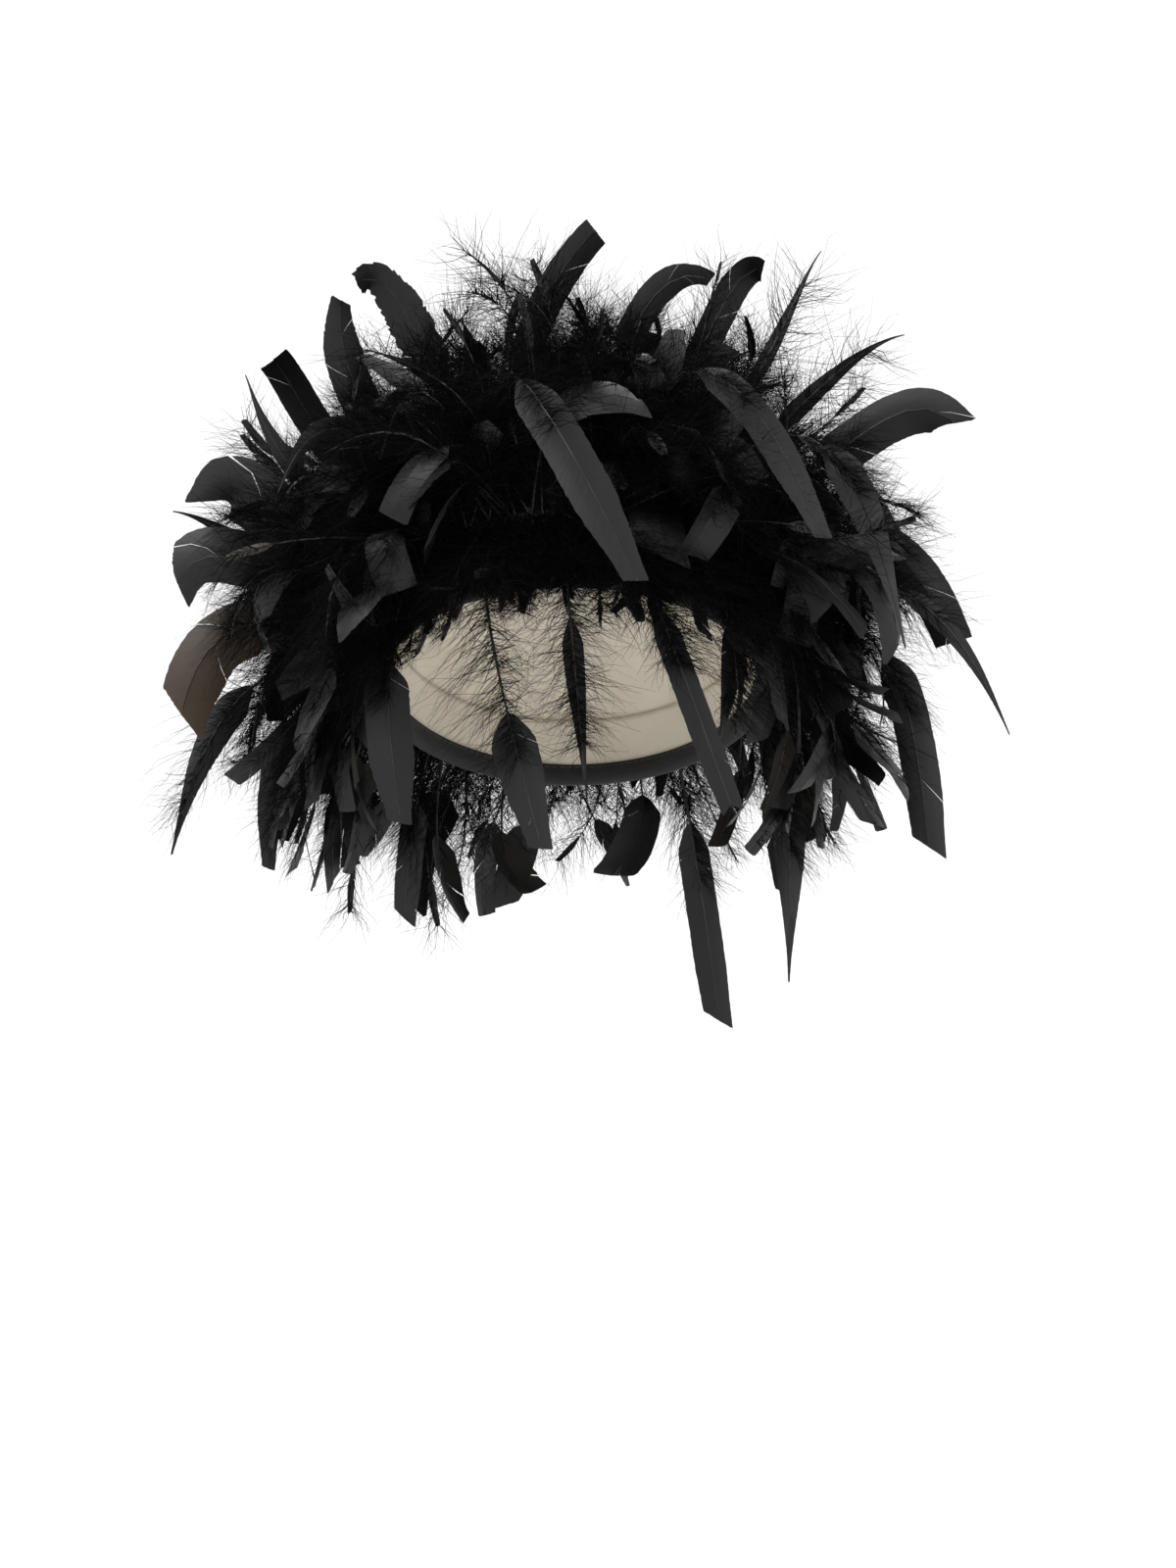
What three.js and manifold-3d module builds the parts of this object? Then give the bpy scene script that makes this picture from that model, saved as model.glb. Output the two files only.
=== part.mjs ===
// A feather headdress: one boa of black chandelle feathers, coiled and sewn on a soft cap.
// Millimetres, +Z up, the face towards -Y. The origin is the centre of the head opening.

import * as THREE from 'three';
import { mergeVertices } from 'three/addons/utils/BufferGeometryUtils.js';
import Module from 'manifold-3d';

// --- The head that it fits ------------------------------------------------------------------
const HEAD_HALF_WIDTH = 78;
const HEAD_HALF_LENGTH = 98;
const CROWN_DEPTH = 92;
const CAP_TILT = 22; // degrees, brow up and nape down

// --- The cap, listed from the head outwards ---------------------------------------------------
const SEWN_GAP = 0.3; // between layers that are sewn together
const BINDING_THICKNESS = 0.8;
const BINDING_INSIDE_HEIGHT = 4;
const BINDING_OUTSIDE_HEIGHT = 7;
const SWEATBAND_THICKNESS = 0.8;
const SWEATBAND_HEIGHT = 25;
const LINING_THICKNESS = 0.6;
const LINING_EASE = 1.3; // the lining hangs loose inside the crown
const GORE_THICKNESS = 1.6;
const GORE_COUNT = 6;
const SEAM_WIDTH = 0.5;
const CROWN_HOLE_ANGLE = 6; // degrees from the top, where the gores meet
const BUTTON_CENTRE_SHARE = 0.1; // the button's middle is a small flat disc
const BUTTON_RADIUS = 12;
const BUTTON_THICKNESS = 1.4;
const WIRE_RADIUS = 0.8;
const WIRE_END_GAP = 1;
const JOINER_LENGTH = 8;
const JOINER_WALL = 0.45;
const JOINER_CLEARANCE = 0.5;

// --- The boa ---------------------------------------------------------------------------------
const CORD_RADIUS = 2;
const CORD_GAP = 1; // between the cord and the cap
const STEPS_PER_TURN = 24; // facets round the head, for every layer and the boa
const GORE_ROWS = 7;
const LINING_ROWS = 6;
const LINING_TOP_ANGLE = 3;
const CORD_CURVE_SEGMENTS = 4;
const WIRE_CURVE_SEGMENTS = 3;
const WIRE_STEPS = 36;
const SLEEVE_SIDES = 12;
const TACK_SIDES = 6;
const TACK_BENDS = 12;
const CORD_STEPS = 103; // 4.3 turns, a cord of 1.83 m
const FIRST_TURN_ANGLE = 83; // degrees from the crown's top, just above the rim
const LAST_TURN_ANGLE = 13;
const WHIPPING_LENGTH = 4;
const WHIPPING_WALL = 0.4;
const WHIPPING_CLEARANCE = 0.3;
const THREAD_RADIUS = 0.4;
const THREAD_CLEARANCE = 0.3;
const STITCHED_RADIUS = CORD_RADIUS + THREAD_CLEARANCE + 2 * THREAD_RADIUS; // the cord with its thread
const TACKS = [
  { turn: 1, azimuth: -120 },
  { turn: 1, azimuth: 120 },
  { turn: 2, azimuth: -60 },
  { turn: 2, azimuth: 60 },
  { turn: 3, azimuth: 0 },
  { turn: 4, azimuth: 0 },
];

// --- The down that fills each turn --------------------------------------------------------------
const DOWN_WIDTH = 22.4; // at the cap
const DOWN_OUTER_WIDTH = 31;
const DOWN_HEIGHT = 50;
const DOWN_BASE = 2.6; // above the cap
const DOWN_END_GAP = 0.012; // turns
const SLOT_SIDE_ROOM = 1.3; // between the stitched cord and the down beside it
const SLOT_TOP_ROOM = 0.5;
const DOWN_SLOT_WIDTH = 2 * (STITCHED_RADIUS + SLOT_SIDE_ROOM);
const DOWN_SLOT_TOP = CORD_GAP + CORD_RADIUS + STITCHED_RADIUS + SLOT_TOP_ROOM;
const QUILL_CHANNEL = 0.5; // room round a quill in the down

// --- The feathers ---------------------------------------------------------------------------------
const QUILL_RADIUS = 0.9;
const TIE_GAP = 0.4;
const BLADE_THICKNESS = 1;
const BLADE_TWIST = 24; // degrees that a blade turns from its tie to its tip
const BLADE_START = 0.42; // shares of the feather's length
const BLADE_SHOULDER = 0.74;
const FEATHER_STEPS = 10;
const CUT_TIP = 0.4; // the tip's width as a share of the blade's
const POINTED_TIP = 0.08;
const NARROW_BLADE = 12; // a blade narrower than this ends in a point
const HANG_SPREAD = 15; // degrees, how far a hanging quill leaves the cap's side
const HANGING_LIFT = 32;
const STANDING_LIFT = 60;
const STANDING_DROOP = 12;
const BEND_SHARE = 0.55;
const FRONT = [0, -1, 0.1];
const FRONT_AND_UP = [0, -1, 0.8];
const BACK_AND_DOWN = [0, 0.7, -1];
const UNDER = [0, 0.3, -1];

// Each feather is tied at an azimuth of a turn: 0 is the brow and +90 the side at +X. length is
// straight from its tie to its tip. lean turns the tip from straight up towards +X, as seen from
// the face, and forward turns it to the face. lift is how far it leaves along its first
// direction, droop raises the middle of its bend, and face is where its flat side looks.
const HANGING_FEATHERS = [
  { name: 'temple_feather_left', turn: 1, azimuth: -50, length: 105, lean: 180, forward: 15, width: 17 },
  { name: 'fringe_feather_centre', turn: 1, azimuth: -22, length: 130, lean: 170, forward: 15, width: 18 },
  { name: 'fringe_feather_point', turn: 1, azimuth: -2, length: 115, lean: 175, forward: 15, width: 8 },
  { name: 'fringe_feather_curl', turn: 1, azimuth: 14, length: 125, lean: 160, forward: 10, width: 11 },
  { name: 'fringe_feather_short', turn: 1, azimuth: 42, length: 90, lean: 180, forward: 20, width: 9 },
  { name: 'side_feather_right', turn: 1, azimuth: 105, length: 150, lean: 175, forward: 10, width: 14 },
  { name: 'nape_feather_right', turn: 1, azimuth: 150, length: 155, lean: 170, forward: 0, width: 16 },
  { name: 'nape_feather_left', turn: 1, azimuth: -135, length: 90, lean: -170, forward: -5, width: 13 },
];
const STANDING_FEATHERS = [
  {
    name: 'crown_feather_bent_left', turn: 4, azimuth: -60, length: 95, lean: -35, forward: 0,
    width: 20, droop: 30,
  },
  { name: 'crown_feather_low_left', turn: 3, azimuth: -66, length: 90, lean: -25, forward: 10, width: 17 },
  { name: 'crown_feather_upright', turn: 5, azimuth: -115, length: 120, lean: 15, forward: 0, width: 14 },
  {
    name: 'crown_feather_bent_right', turn: 4, azimuth: 70, length: 100, lean: 30, forward: 0,
    width: 14, droop: 26,
  },
  { name: 'crown_feather_under_right', turn: 4, azimuth: 20, length: 80, lean: 35, forward: 10, width: 13 },
  { name: 'left_feather_square', turn: 3, azimuth: -92, length: 100, lean: -40, forward: 10, width: 17 },
  { name: 'left_feather_spike', turn: 2, azimuth: -72, length: 95, lean: -40, forward: 5, width: 9 },
  {
    name: 'left_feather_grey', turn: 2, azimuth: -88, length: 80, lean: -65, forward: 5,
    width: 26, droop: 24,
  },
  { name: 'left_feather_thin', turn: 2, azimuth: -108, length: 110, lean: -65, forward: 5, width: 10 },
  {
    name: 'left_feather_broad', turn: 1, azimuth: -70, length: 80, lean: -85, forward: 5,
    width: 24, droop: 16,
  },
  { name: 'left_feather_brown', turn: 1, azimuth: -84, length: 85, lean: -115, forward: 5, width: 24 },
  { name: 'left_feather_fluffy', turn: 1, azimuth: -98, length: 120, lean: -135, forward: 5, width: 14 },
  { name: 'left_feather_low', turn: 1, azimuth: -114, length: 100, lean: -145, forward: -10, width: 13 },
  { name: 'right_feather_spike_high', turn: 3, azimuth: 60, length: 115, lean: 30, forward: -5, width: 7 },
  { name: 'right_feather_point_high', turn: 3, azimuth: 84, length: 115, lean: 50, forward: 5, width: 10 },
  {
    name: 'right_feather_corner', turn: 2, azimuth: 70, length: 100, lean: 65, forward: 10,
    width: 21, droop: 24,
  },
  {
    name: 'right_feather_wide', turn: 2, azimuth: 98, length: 100, lean: 110, forward: 15,
    width: 18, droop: 28,
  },
  { name: 'right_feather_thin', turn: 1, azimuth: 78, length: 120, lean: 120, forward: -5, width: 8 },
  { name: 'right_feather_low', turn: 1, azimuth: 94, length: 120, lean: 145, forward: 5, width: 16 },
  {
    name: 'right_feather_grey', turn: 2, azimuth: 44, length: 110, lean: 130, forward: 20,
    width: 16, lift: 75,
  },
  { name: 'front_feather_left', turn: 2, azimuth: -42, length: 75, lean: -95, forward: 35, width: 10 },
  {
    name: 'front_feather_sheen', turn: 2, azimuth: -14, length: 105, lean: 140, forward: 50,
    width: 20, lift: 85, face: FRONT_AND_UP,
  },
  {
    name: 'front_feather_right', turn: 2, azimuth: 16, length: 100, lean: 115, forward: 35,
    width: 15, lift: 80, face: FRONT_AND_UP,
  },
  {
    name: 'back_feather_high', turn: 4, azimuth: 170, length: 100, lean: -15, forward: -50,
    width: 18, face: BACK_AND_DOWN,
  },
  {
    name: 'back_feather_left', turn: 2, azimuth: -150, length: 95, lean: -75, forward: -55,
    width: 20, face: UNDER,
  },
  {
    name: 'back_feather_right', turn: 2, azimuth: 150, length: 95, lean: 105, forward: -60,
    width: 20, face: UNDER,
  },
];

// --- Finishes -------------------------------------------------------------------------------------
const FEATHER_BLACK = { color: 0x0c0c0d, roughness: 0.45, metalness: 0 };
const DOWN_BLACK = { color: 0x060607, roughness: 0.95, metalness: 0 };
const CAP_BLACK = { color: 0x101011, roughness: 0.9, metalness: 0 };
const CORD_BLACK = { color: 0x0b0b0c, roughness: 0.8, metalness: 0 };
const THREAD_BLACK = { color: 0x141416, roughness: 0.6, metalness: 0 };
const SATIN_IVORY = { color: 0xd8cfbf, roughness: 0.4, metalness: 0 };
const RIBBON_IVORY = { color: 0xcfc6b4, roughness: 0.7, metalness: 0 };
const WIRE_STEEL = { color: 0x9a9a9c, roughness: 0.35, metalness: 1 };

// --- Where the layers lie, as distances outside the head's own ellipsoid -----------------------------
const SWEATBAND_INSIDE = BINDING_THICKNESS + SEWN_GAP;
const LINING_INSIDE = SWEATBAND_INSIDE + SWEATBAND_THICKNESS + SEWN_GAP;
const LINING_OUTSIDE = LINING_INSIDE + LINING_THICKNESS;
const GORE_INSIDE = LINING_OUTSIDE + LINING_EASE;
const GORE_OUTSIDE = GORE_INSIDE + GORE_THICKNESS;
const BINDING_OUTSIDE = GORE_OUTSIDE + SEWN_GAP + BINDING_THICKNESS;
const BOA_TURNS = CORD_STEPS / STEPS_PER_TURN;

const RIM_ANGLE = 90;
const wasm = await Module();
wasm.setup();

/** Degrees to radians. */
const radians = (degrees) => THREE.MathUtils.degToRad(degrees);

/** A point of the crown's ellipsoid, moved out by a layer's offset. Angles are in degrees. */
function crownPoint(angle, azimuth, offset) {
  const a = radians(angle);
  const t = radians(azimuth);
  return new THREE.Vector3(
    (HEAD_HALF_WIDTH + offset) * Math.sin(a) * Math.sin(t),
    -(HEAD_HALF_LENGTH + offset) * Math.sin(a) * Math.cos(t),
    (CROWN_DEPTH + offset) * Math.cos(a),
  );
}

/** The direction straight out of the crown's outer surface at a point of it. */
function crownNormal(point) {
  return new THREE.Vector3(
    point.x / (HEAD_HALF_WIDTH + GORE_OUTSIDE) ** 2,
    point.y / (HEAD_HALF_LENGTH + GORE_OUTSIDE) ** 2,
    point.z / (CROWN_DEPTH + GORE_OUTSIDE) ** 2,
  ).normalize();
}

/** The angle from the crown's top at which a layer stands a height above the rim. */
function angleAtHeight(height, offset) {
  return THREE.MathUtils.radToDeg(Math.acos(height / (CROWN_DEPTH + offset)));
}

/** Whole turns and parts of one from the boa's start, at the nape, to an azimuth of a turn. */
const turnsAt = (turn, azimuth) => turn - 0.5 + azimuth / 360;

/** The point under the boa on the cap's outer surface, after some turns of it. */
function boaSeat(turns) {
  const angle = THREE.MathUtils.lerp(FIRST_TURN_ANGLE, LAST_TURN_ANGLE, turns / BOA_TURNS);
  return crownPoint(angle, (turns - 0.5) * 360, GORE_OUTSIDE);
}

/** The boa's own axes after some turns: its seat, out of the cap, along it, and to the rim. */
function boaFrame(turns) {
  const step = 0.5 / STEPS_PER_TURN;
  const seat = boaSeat(turns);
  const out = crownNormal(seat);
  const along = boaSeat(turns + step).sub(boaSeat(turns - step)).normalize();
  const down = new THREE.Vector3().crossVectors(along, out).normalize();
  return { seat, out, along, down };
}

/** The boa's cord lies on the cap, and is stepped by angle, as the cap's own facets are. */
class CordRoute extends THREE.Curve {
  getPoint(share, target = new THREE.Vector3()) {
    const { seat, out } = boaFrame(share * BOA_TURNS);
    return target.copy(seat).addScaledVector(out, CORD_GAP + CORD_RADIUS);
  }

  getPointAt(share, target) {
    return this.getPoint(share, target);
  }

  getTangentAt(share, target) {
    return this.getTangent(share, target);
  }
}

/** Six times the volume that a geometry bounds, negative where its faces point in. */
function signedVolume(positions, index) {
  const [a, b, c] = [new THREE.Vector3(), new THREE.Vector3(), new THREE.Vector3()];
  let sum = 0;
  for (let i = 0; i < index.length; i += 3) {
    a.fromArray(positions, 3 * index[i]);
    b.fromArray(positions, 3 * index[i + 1]);
    c.fromArray(positions, 3 * index[i + 2]);
    sum += a.dot(b.cross(c));
  }
  return sum;
}

/**
 * A closed body through rings of points. Without a section the last ring joins the first.
 * With a section, the ring's outline in two dimensions, both ends are filled.
 */
function loft(rings, section = null) {
  const count = rings[0].length;
  const positions = rings.flat().flatMap((point) => point.toArray());
  const index = [];
  const spans = section ? rings.length - 1 : rings.length;
  for (let ring = 0; ring < spans; ring += 1) {
    const from = ring * count;
    const to = ((ring + 1) % rings.length) * count;
    for (let i = 0; i < count; i += 1) {
      const next = (i + 1) % count;
      index.push(from + i, from + next, to + next, from + i, to + next, to + i);
    }
  }
  if (section) {
    const last = (rings.length - 1) * count;
    for (const [a, b, c] of THREE.ShapeUtils.triangulateShape(section, [])) {
      const forward = THREE.ShapeUtils.isClockWise(section) ? [a, b, c] : [c, b, a];
      index.push(...forward);
      index.push(...forward.map((i) => last + i).reverse());
    }
  }
  if (signedVolume(positions, index) < 0) {
    index.reverse();
  }
  const geometry = new THREE.BufferGeometry();
  geometry.setAttribute('position', new THREE.Float32BufferAttribute(positions, 3));
  geometry.setIndex(index);
  return geometry;
}

/** The solid that a closed geometry bounds. */
function toSolid(geometry) {
  const bare = geometry.clone();
  bare.deleteAttribute('normal');
  bare.deleteAttribute('uv');
  const merged = mergeVertices(bare);
  return new wasm.Manifold(new wasm.Mesh({
    numProp: 3,
    vertProperties: new Float32Array(merged.attributes.position.array),
    triVerts: new Uint32Array(merged.index.array),
  }));
}

/** The geometry of a solid. */
function toGeometry(solid) {
  const mesh = solid.getMesh();
  const geometry = new THREE.BufferGeometry();
  geometry.setAttribute('position', new THREE.BufferAttribute(mesh.vertProperties, 3));
  geometry.setIndex(new THREE.BufferAttribute(mesh.triVerts, 1));
  return geometry;
}

/** A geometry with other solids cut out of it. */
function cutBy(geometry, tools) {
  const cut = tools.reduce((solid, tool) => solid.subtract(tool), toSolid(geometry));
  return toGeometry(cut);
}

/** A named mesh with its finish. */
function part(name, geometry, finish) {
  geometry.computeVertexNormals();
  const mesh = new THREE.Mesh(geometry, new THREE.MeshStandardMaterial(finish));
  mesh.name = name;
  return mesh;
}

/** Azimuths round the rim, one for each facet. */
const rimAzimuths = () => Array.from({ length: STEPS_PER_TURN }, (_, i) => (i * 360) / STEPS_PER_TURN);

/** The angles at which the sweatband, and the lining behind it, follow the crown. */
const bandAngles = () => [1, 2 / 3, 1 / 3].map((share) => (
  angleAtHeight(share * SWEATBAND_HEIGHT, SWEATBAND_INSIDE)));

/** The sweatband stands inside the rim and runs all the way round. */
function sweatband() {
  const foot = angleAtHeight(SEWN_GAP, SWEATBAND_INSIDE);
  const angles = [...bandAngles(), foot];
  const outside = SWEATBAND_INSIDE + SWEATBAND_THICKNESS;
  return loft(rimAzimuths().map((azimuth) => [
    ...angles.map((angle) => crownPoint(angle, azimuth, SWEATBAND_INSIDE)),
    ...angles.toReversed().map((angle) => crownPoint(angle, azimuth, outside)),
  ]));
}

/** One gore of the cap: a curved wedge from the rim to the hole at the top. */
function gore(number) {
  const facets = STEPS_PER_TURN / GORE_COUNT;
  const width = 360 / GORE_COUNT;
  const seam = THREE.MathUtils.radToDeg(SEAM_WIDTH / 2 / HEAD_HALF_WIDTH);
  const angles = Array.from({ length: GORE_ROWS + 1 }, (_, i) => (
    THREE.MathUtils.lerp(RIM_ANGLE, CROWN_HOLE_ANGLE, i / GORE_ROWS)));
  const corners = [
    ...angles.map((angle) => ({ angle, offset: GORE_OUTSIDE })),
    ...angles.toReversed().map((angle) => ({ angle, offset: GORE_INSIDE })),
  ];
  const rings = Array.from({ length: facets + 1 }, (_, i) => corners.map(({ angle, offset }) => {
    const seamTurn = seam / Math.sin(radians(angle));
    const shift = i === 0 ? seamTurn : i === facets ? -seamTurn : 0;
    return crownPoint(angle, (number - 0.5) * width + (i * width) / facets + shift, offset);
  }));
  const section = corners.map(({ angle, offset }) => crownPoint(angle, 90, offset));
  return loft(rings, section.map((point) => new THREE.Vector2(point.x, point.z)));
}

/** The lining is a whole dome, closed at the top and open at the rim. */
function liningShell() {
  const [bandTop] = bandAngles();
  const dome = Array.from({ length: LINING_ROWS }, (_, i) => (
    THREE.MathUtils.lerp(LINING_TOP_ANGLE, bandTop, i / LINING_ROWS)));
  const angles = [...dome, ...bandAngles(), RIM_ANGLE];
  const ring = (angle, offset) => rimAzimuths().map((azimuth) => crownPoint(angle, azimuth, offset));
  const rings = [
    ...angles.map((angle) => ring(angle, LINING_OUTSIDE)),
    ...angles.toReversed().map((angle) => ring(angle, LINING_INSIDE)),
  ];
  return loft(rings, rings[0].map((point) => new THREE.Vector2(point.x, point.y)));
}

/** The covered button that closes the hole where the gores meet. */
function crownButton() {
  const rows = [0, 0.5, 1];
  const base = GORE_OUTSIDE + SEWN_GAP;
  const reach = THREE.MathUtils.radToDeg(BUTTON_RADIUS / (HEAD_HALF_WIDTH + GORE_OUTSIDE));
  const ring = (share, offset) => rimAzimuths().map((azimuth) => (
    crownPoint(Math.max(share, BUTTON_CENTRE_SHARE) * reach, azimuth, offset)));
  const rings = [
    ...rows.map((share) => ring(share, base + BUTTON_THICKNESS)),
    ...rows.toReversed().map((share) => ring(share, base)),
  ];
  return loft(rings, rings[0].map((point) => new THREE.Vector2(point.x, point.y)));
}

/** The height of the brim wire's centre, in the fold of the binding under the cap's edge. */
const WIRE_HEIGHT = -(WIRE_RADIUS + JOINER_CLEARANCE + JOINER_WALL + SEWN_GAP);
const WIRE_OFFSET = BINDING_OUTSIDE / 2;
const BINDING_FLOOR = WIRE_HEIGHT - WIRE_RADIUS - JOINER_CLEARANCE - JOINER_WALL - SEWN_GAP;

/** The binding is folded over the rim: a U section that runs all the way round. */
function rimBinding() {
  const outline = [
    [0, BINDING_FLOOR - BINDING_THICKNESS],
    [BINDING_OUTSIDE, BINDING_FLOOR - BINDING_THICKNESS],
    [BINDING_OUTSIDE, BINDING_OUTSIDE_HEIGHT],
    [BINDING_OUTSIDE - BINDING_THICKNESS, BINDING_OUTSIDE_HEIGHT],
    [BINDING_OUTSIDE - BINDING_THICKNESS, BINDING_FLOOR],
    [BINDING_THICKNESS, BINDING_FLOOR],
    [BINDING_THICKNESS, BINDING_INSIDE_HEIGHT],
    [0, BINDING_INSIDE_HEIGHT],
  ];
  return loft(rimAzimuths().map((azimuth) => outline.map(([offset, height]) => (
    crownPoint(RIM_ANGLE, azimuth, offset).setZ(height)))));
}

/** The brim wire runs round the rim and stops short of meeting itself at the nape. */
class WireRoute extends THREE.Curve {
  getPoint(share, target = new THREE.Vector3()) {
    const gap = THREE.MathUtils.radToDeg(WIRE_END_GAP / 2 / HEAD_HALF_WIDTH);
    const azimuth = THREE.MathUtils.lerp(-180 + gap, 180 - gap, share);
    return target.copy(crownPoint(RIM_ANGLE, azimuth, WIRE_OFFSET)).setZ(WIRE_HEIGHT);
  }
}

/** A tube of a round section along a route. */
function rod(route, radius, curveSegments, steps) {
  const section = new THREE.Shape();
  section.absarc(0, 0, radius, 0, 2 * Math.PI);
  return new THREE.ExtrudeGeometry(section, { extrudePath: route, steps, curveSegments });
}

/** A short sleeve with a hole right through it, about a centre and along an axis. */
function sleeve(centre, axis, inside, outside, length) {
  const upright = new THREE.Vector3(0, 0, 1);
  const turn = new THREE.Quaternion().setFromUnitVectors(upright, axis);
  const rings = Array.from({ length: SLEEVE_SIDES }, (_, i) => {
    const around = new THREE.Vector3(1, 0, 0).applyAxisAngle(upright, (i * 2 * Math.PI) / SLEEVE_SIDES);
    const corners = [[inside, -1], [outside, -1], [outside, 1], [inside, 1]];
    return corners.map(([radius, end]) => (
      around.clone().multiplyScalar(radius).setZ((end * length) / 2).applyQuaternion(turn).add(centre)));
  });
  return loft(rings);
}

/** Thread is wound round an end of the cord, on its last straight facet. */
function whipping(endStep, nextStep) {
  const route = new CordRoute();
  const end = route.getPoint(endStep / CORD_STEPS);
  const inwards = route.getPoint(nextStep / CORD_STEPS).sub(end).normalize();
  const centre = end.addScaledVector(inwards, WHIPPING_LENGTH / 2 + SEWN_GAP);
  const inside = CORD_RADIUS + WHIPPING_CLEARANCE;
  return sleeve(centre, inwards, inside, inside + WHIPPING_WALL, WHIPPING_LENGTH);
}

/** A tack is one loop of thread round the cord and through the cap. */
function tackStitch(tack, threadRadius) {
  const half = CORD_RADIUS + THREAD_RADIUS + THREAD_CLEARANCE;
  const high = CORD_GAP + CORD_RADIUS;
  const low = half - GORE_THICKNESS - THREAD_RADIUS - THREAD_CLEARANCE;
  const { seat, out, along, down } = boaFrame(turnsAt(tack.turn, tack.azimuth));
  const rings = Array.from({ length: TACK_BENDS }, (_, i) => {
    const bend = ((i + 0.5) * 2 * Math.PI) / TACK_BENDS;
    const away = down.clone().multiplyScalar(Math.cos(bend)).addScaledVector(out, Math.sin(bend));
    const centre = seat.clone()
      .addScaledVector(out, Math.sin(bend) > 0 ? high : low)
      .addScaledVector(away, half);
    return Array.from({ length: TACK_SIDES }, (__, side) => {
      const turn = (side * 2 * Math.PI) / TACK_SIDES;
      return centre.clone()
        .addScaledVector(away, threadRadius * Math.cos(turn))
        .addScaledVector(along, threadRadius * Math.sin(turn));
    });
  });
  return loft(rings);
}

/** The down round one turn: a soft ridge over the cord, cut away below the first turn's cord. */
function downRidge(from, to, hangsFree) {
  const half = DOWN_WIDTH / 2;
  const outer = DOWN_OUTER_WIDTH / 2;
  const slot = DOWN_SLOT_WIDTH / 2;
  const above = [[-half, DOWN_BASE], [-slot, DOWN_BASE], [-slot, DOWN_SLOT_TOP]];
  const below = hangsFree
    ? [[-QUILL_CHANNEL, DOWN_SLOT_TOP], [-QUILL_CHANNEL, DOWN_HEIGHT]]
    : [[slot, DOWN_SLOT_TOP], [slot, DOWN_BASE], [half, DOWN_BASE], [outer, DOWN_HEIGHT]];
  const section = [...above, ...below, [-outer, DOWN_HEIGHT]].map(([x, y]) => new THREE.Vector2(x, y));
  const steps = Math.round((to - from) * STEPS_PER_TURN);
  const start = from + DOWN_END_GAP;
  const end = to - DOWN_END_GAP;
  const stops = Array.from({ length: steps + 1 }, (_, i) => (
    THREE.MathUtils.clamp(from + i / STEPS_PER_TURN, start, end)));
  const rings = stops.map((turns) => {
    const { seat, out, down } = boaFrame(turns);
    return section.map((corner) => (
      seat.clone().addScaledVector(down, corner.x).addScaledVector(out, corner.y)));
  });
  return loft(rings, section);
}

/** Turns the crown's own frame to the wearer's, with the brow up. */
const crownTurn = new THREE.Quaternion();
crownTurn.setFromAxisAngle(new THREE.Vector3(1, 0, 0), radians(-CAP_TILT));

/** A feather's tip, from where it is tied. */
function featherReach({ length, lean, forward }) {
  const sideways = Math.sin(radians(lean)) * Math.cos(radians(forward));
  const up = Math.cos(radians(lean)) * Math.cos(radians(forward));
  return new THREE.Vector3(sideways, -Math.sin(radians(forward)), up).multiplyScalar(length);
}

/** The way a quill leaves its tie: straight out of the cap, or down its side and a little out. */
function quillStart({ out, down }, hangs) {
  if (!hangs) {
    return out.clone();
  }
  const spread = radians(HANG_SPREAD);
  return down.clone().multiplyScalar(Math.cos(spread)).addScaledVector(out, Math.sin(spread));
}

/** Where a feather is tied and the curve that its quill follows, from the tie. */
function featherCourse(feather, hangs) {
  const axes = boaFrame(turnsAt(feather.turn, feather.azimuth));
  const first = quillStart(axes, hangs);
  const tie = axes.seat.clone()
    .addScaledVector(axes.out, CORD_GAP + CORD_RADIUS)
    .addScaledVector(first, CORD_RADIUS + TIE_GAP)
    .applyQuaternion(crownTurn);
  const lift = feather.lift ?? (hangs ? HANGING_LIFT : STANDING_LIFT);
  const droop = feather.droop ?? (hangs ? 0 : STANDING_DROOP);
  const tip = featherReach(feather);
  const rise = first.applyQuaternion(crownTurn).multiplyScalar(lift);
  const bend = rise.clone().lerp(tip, BEND_SHARE);
  bend.z += droop;
  return { tie, course: new THREE.CubicBezierCurve3(new THREE.Vector3(), rise, bend, tip) };
}

/** One feather: a quill that widens to a flat blade, grown all round by some clearance. */
function featherBody(feather, hangs, grow = 0) {
  const { course } = featherCourse(feather, hangs);
  const look = new THREE.Vector3(...(feather.face ?? FRONT));
  const tipShare = feather.width < NARROW_BLADE ? POINTED_TIP : CUT_TIP;
  const blade = feather.width / 2;
  const square = [[1, 0], [0, 1], [-1, 0], [0, -1]];
  const rings = Array.from({ length: FEATHER_STEPS + 1 }, (_, i) => {
    const share = i / FEATHER_STEPS;
    const point = course.getPoint(share);
    const tangent = course.getTangent(share);
    const side = new THREE.Vector3().crossVectors(tangent, look).normalize();
    side.applyAxisAngle(tangent, radians(BLADE_TWIST * share));
    const flat = new THREE.Vector3().crossVectors(side, tangent).normalize();
    const opened = THREE.MathUtils.smoothstep(share, BLADE_START, BLADE_SHOULDER);
    const closed = THREE.MathUtils.smoothstep(share, BLADE_SHOULDER, 1);
    const spread = THREE.MathUtils.lerp(QUILL_RADIUS, blade, opened);
    const tipHalf = Math.max(blade * tipShare, QUILL_RADIUS / 2);
    const half = grow + THREE.MathUtils.lerp(spread, tipHalf, closed);
    const depth = grow + THREE.MathUtils.lerp(QUILL_RADIUS, BLADE_THICKNESS / 2, opened);
    if (i === 0) {
      point.addScaledVector(tangent, -grow);
    }
    return square.map(([u, v]) => (
      point.clone().addScaledVector(side, u * half).addScaledVector(flat, v * depth)));
  });
  return loft(rings, square.map(([u, v]) => new THREE.Vector2(u, v)));
}

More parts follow.
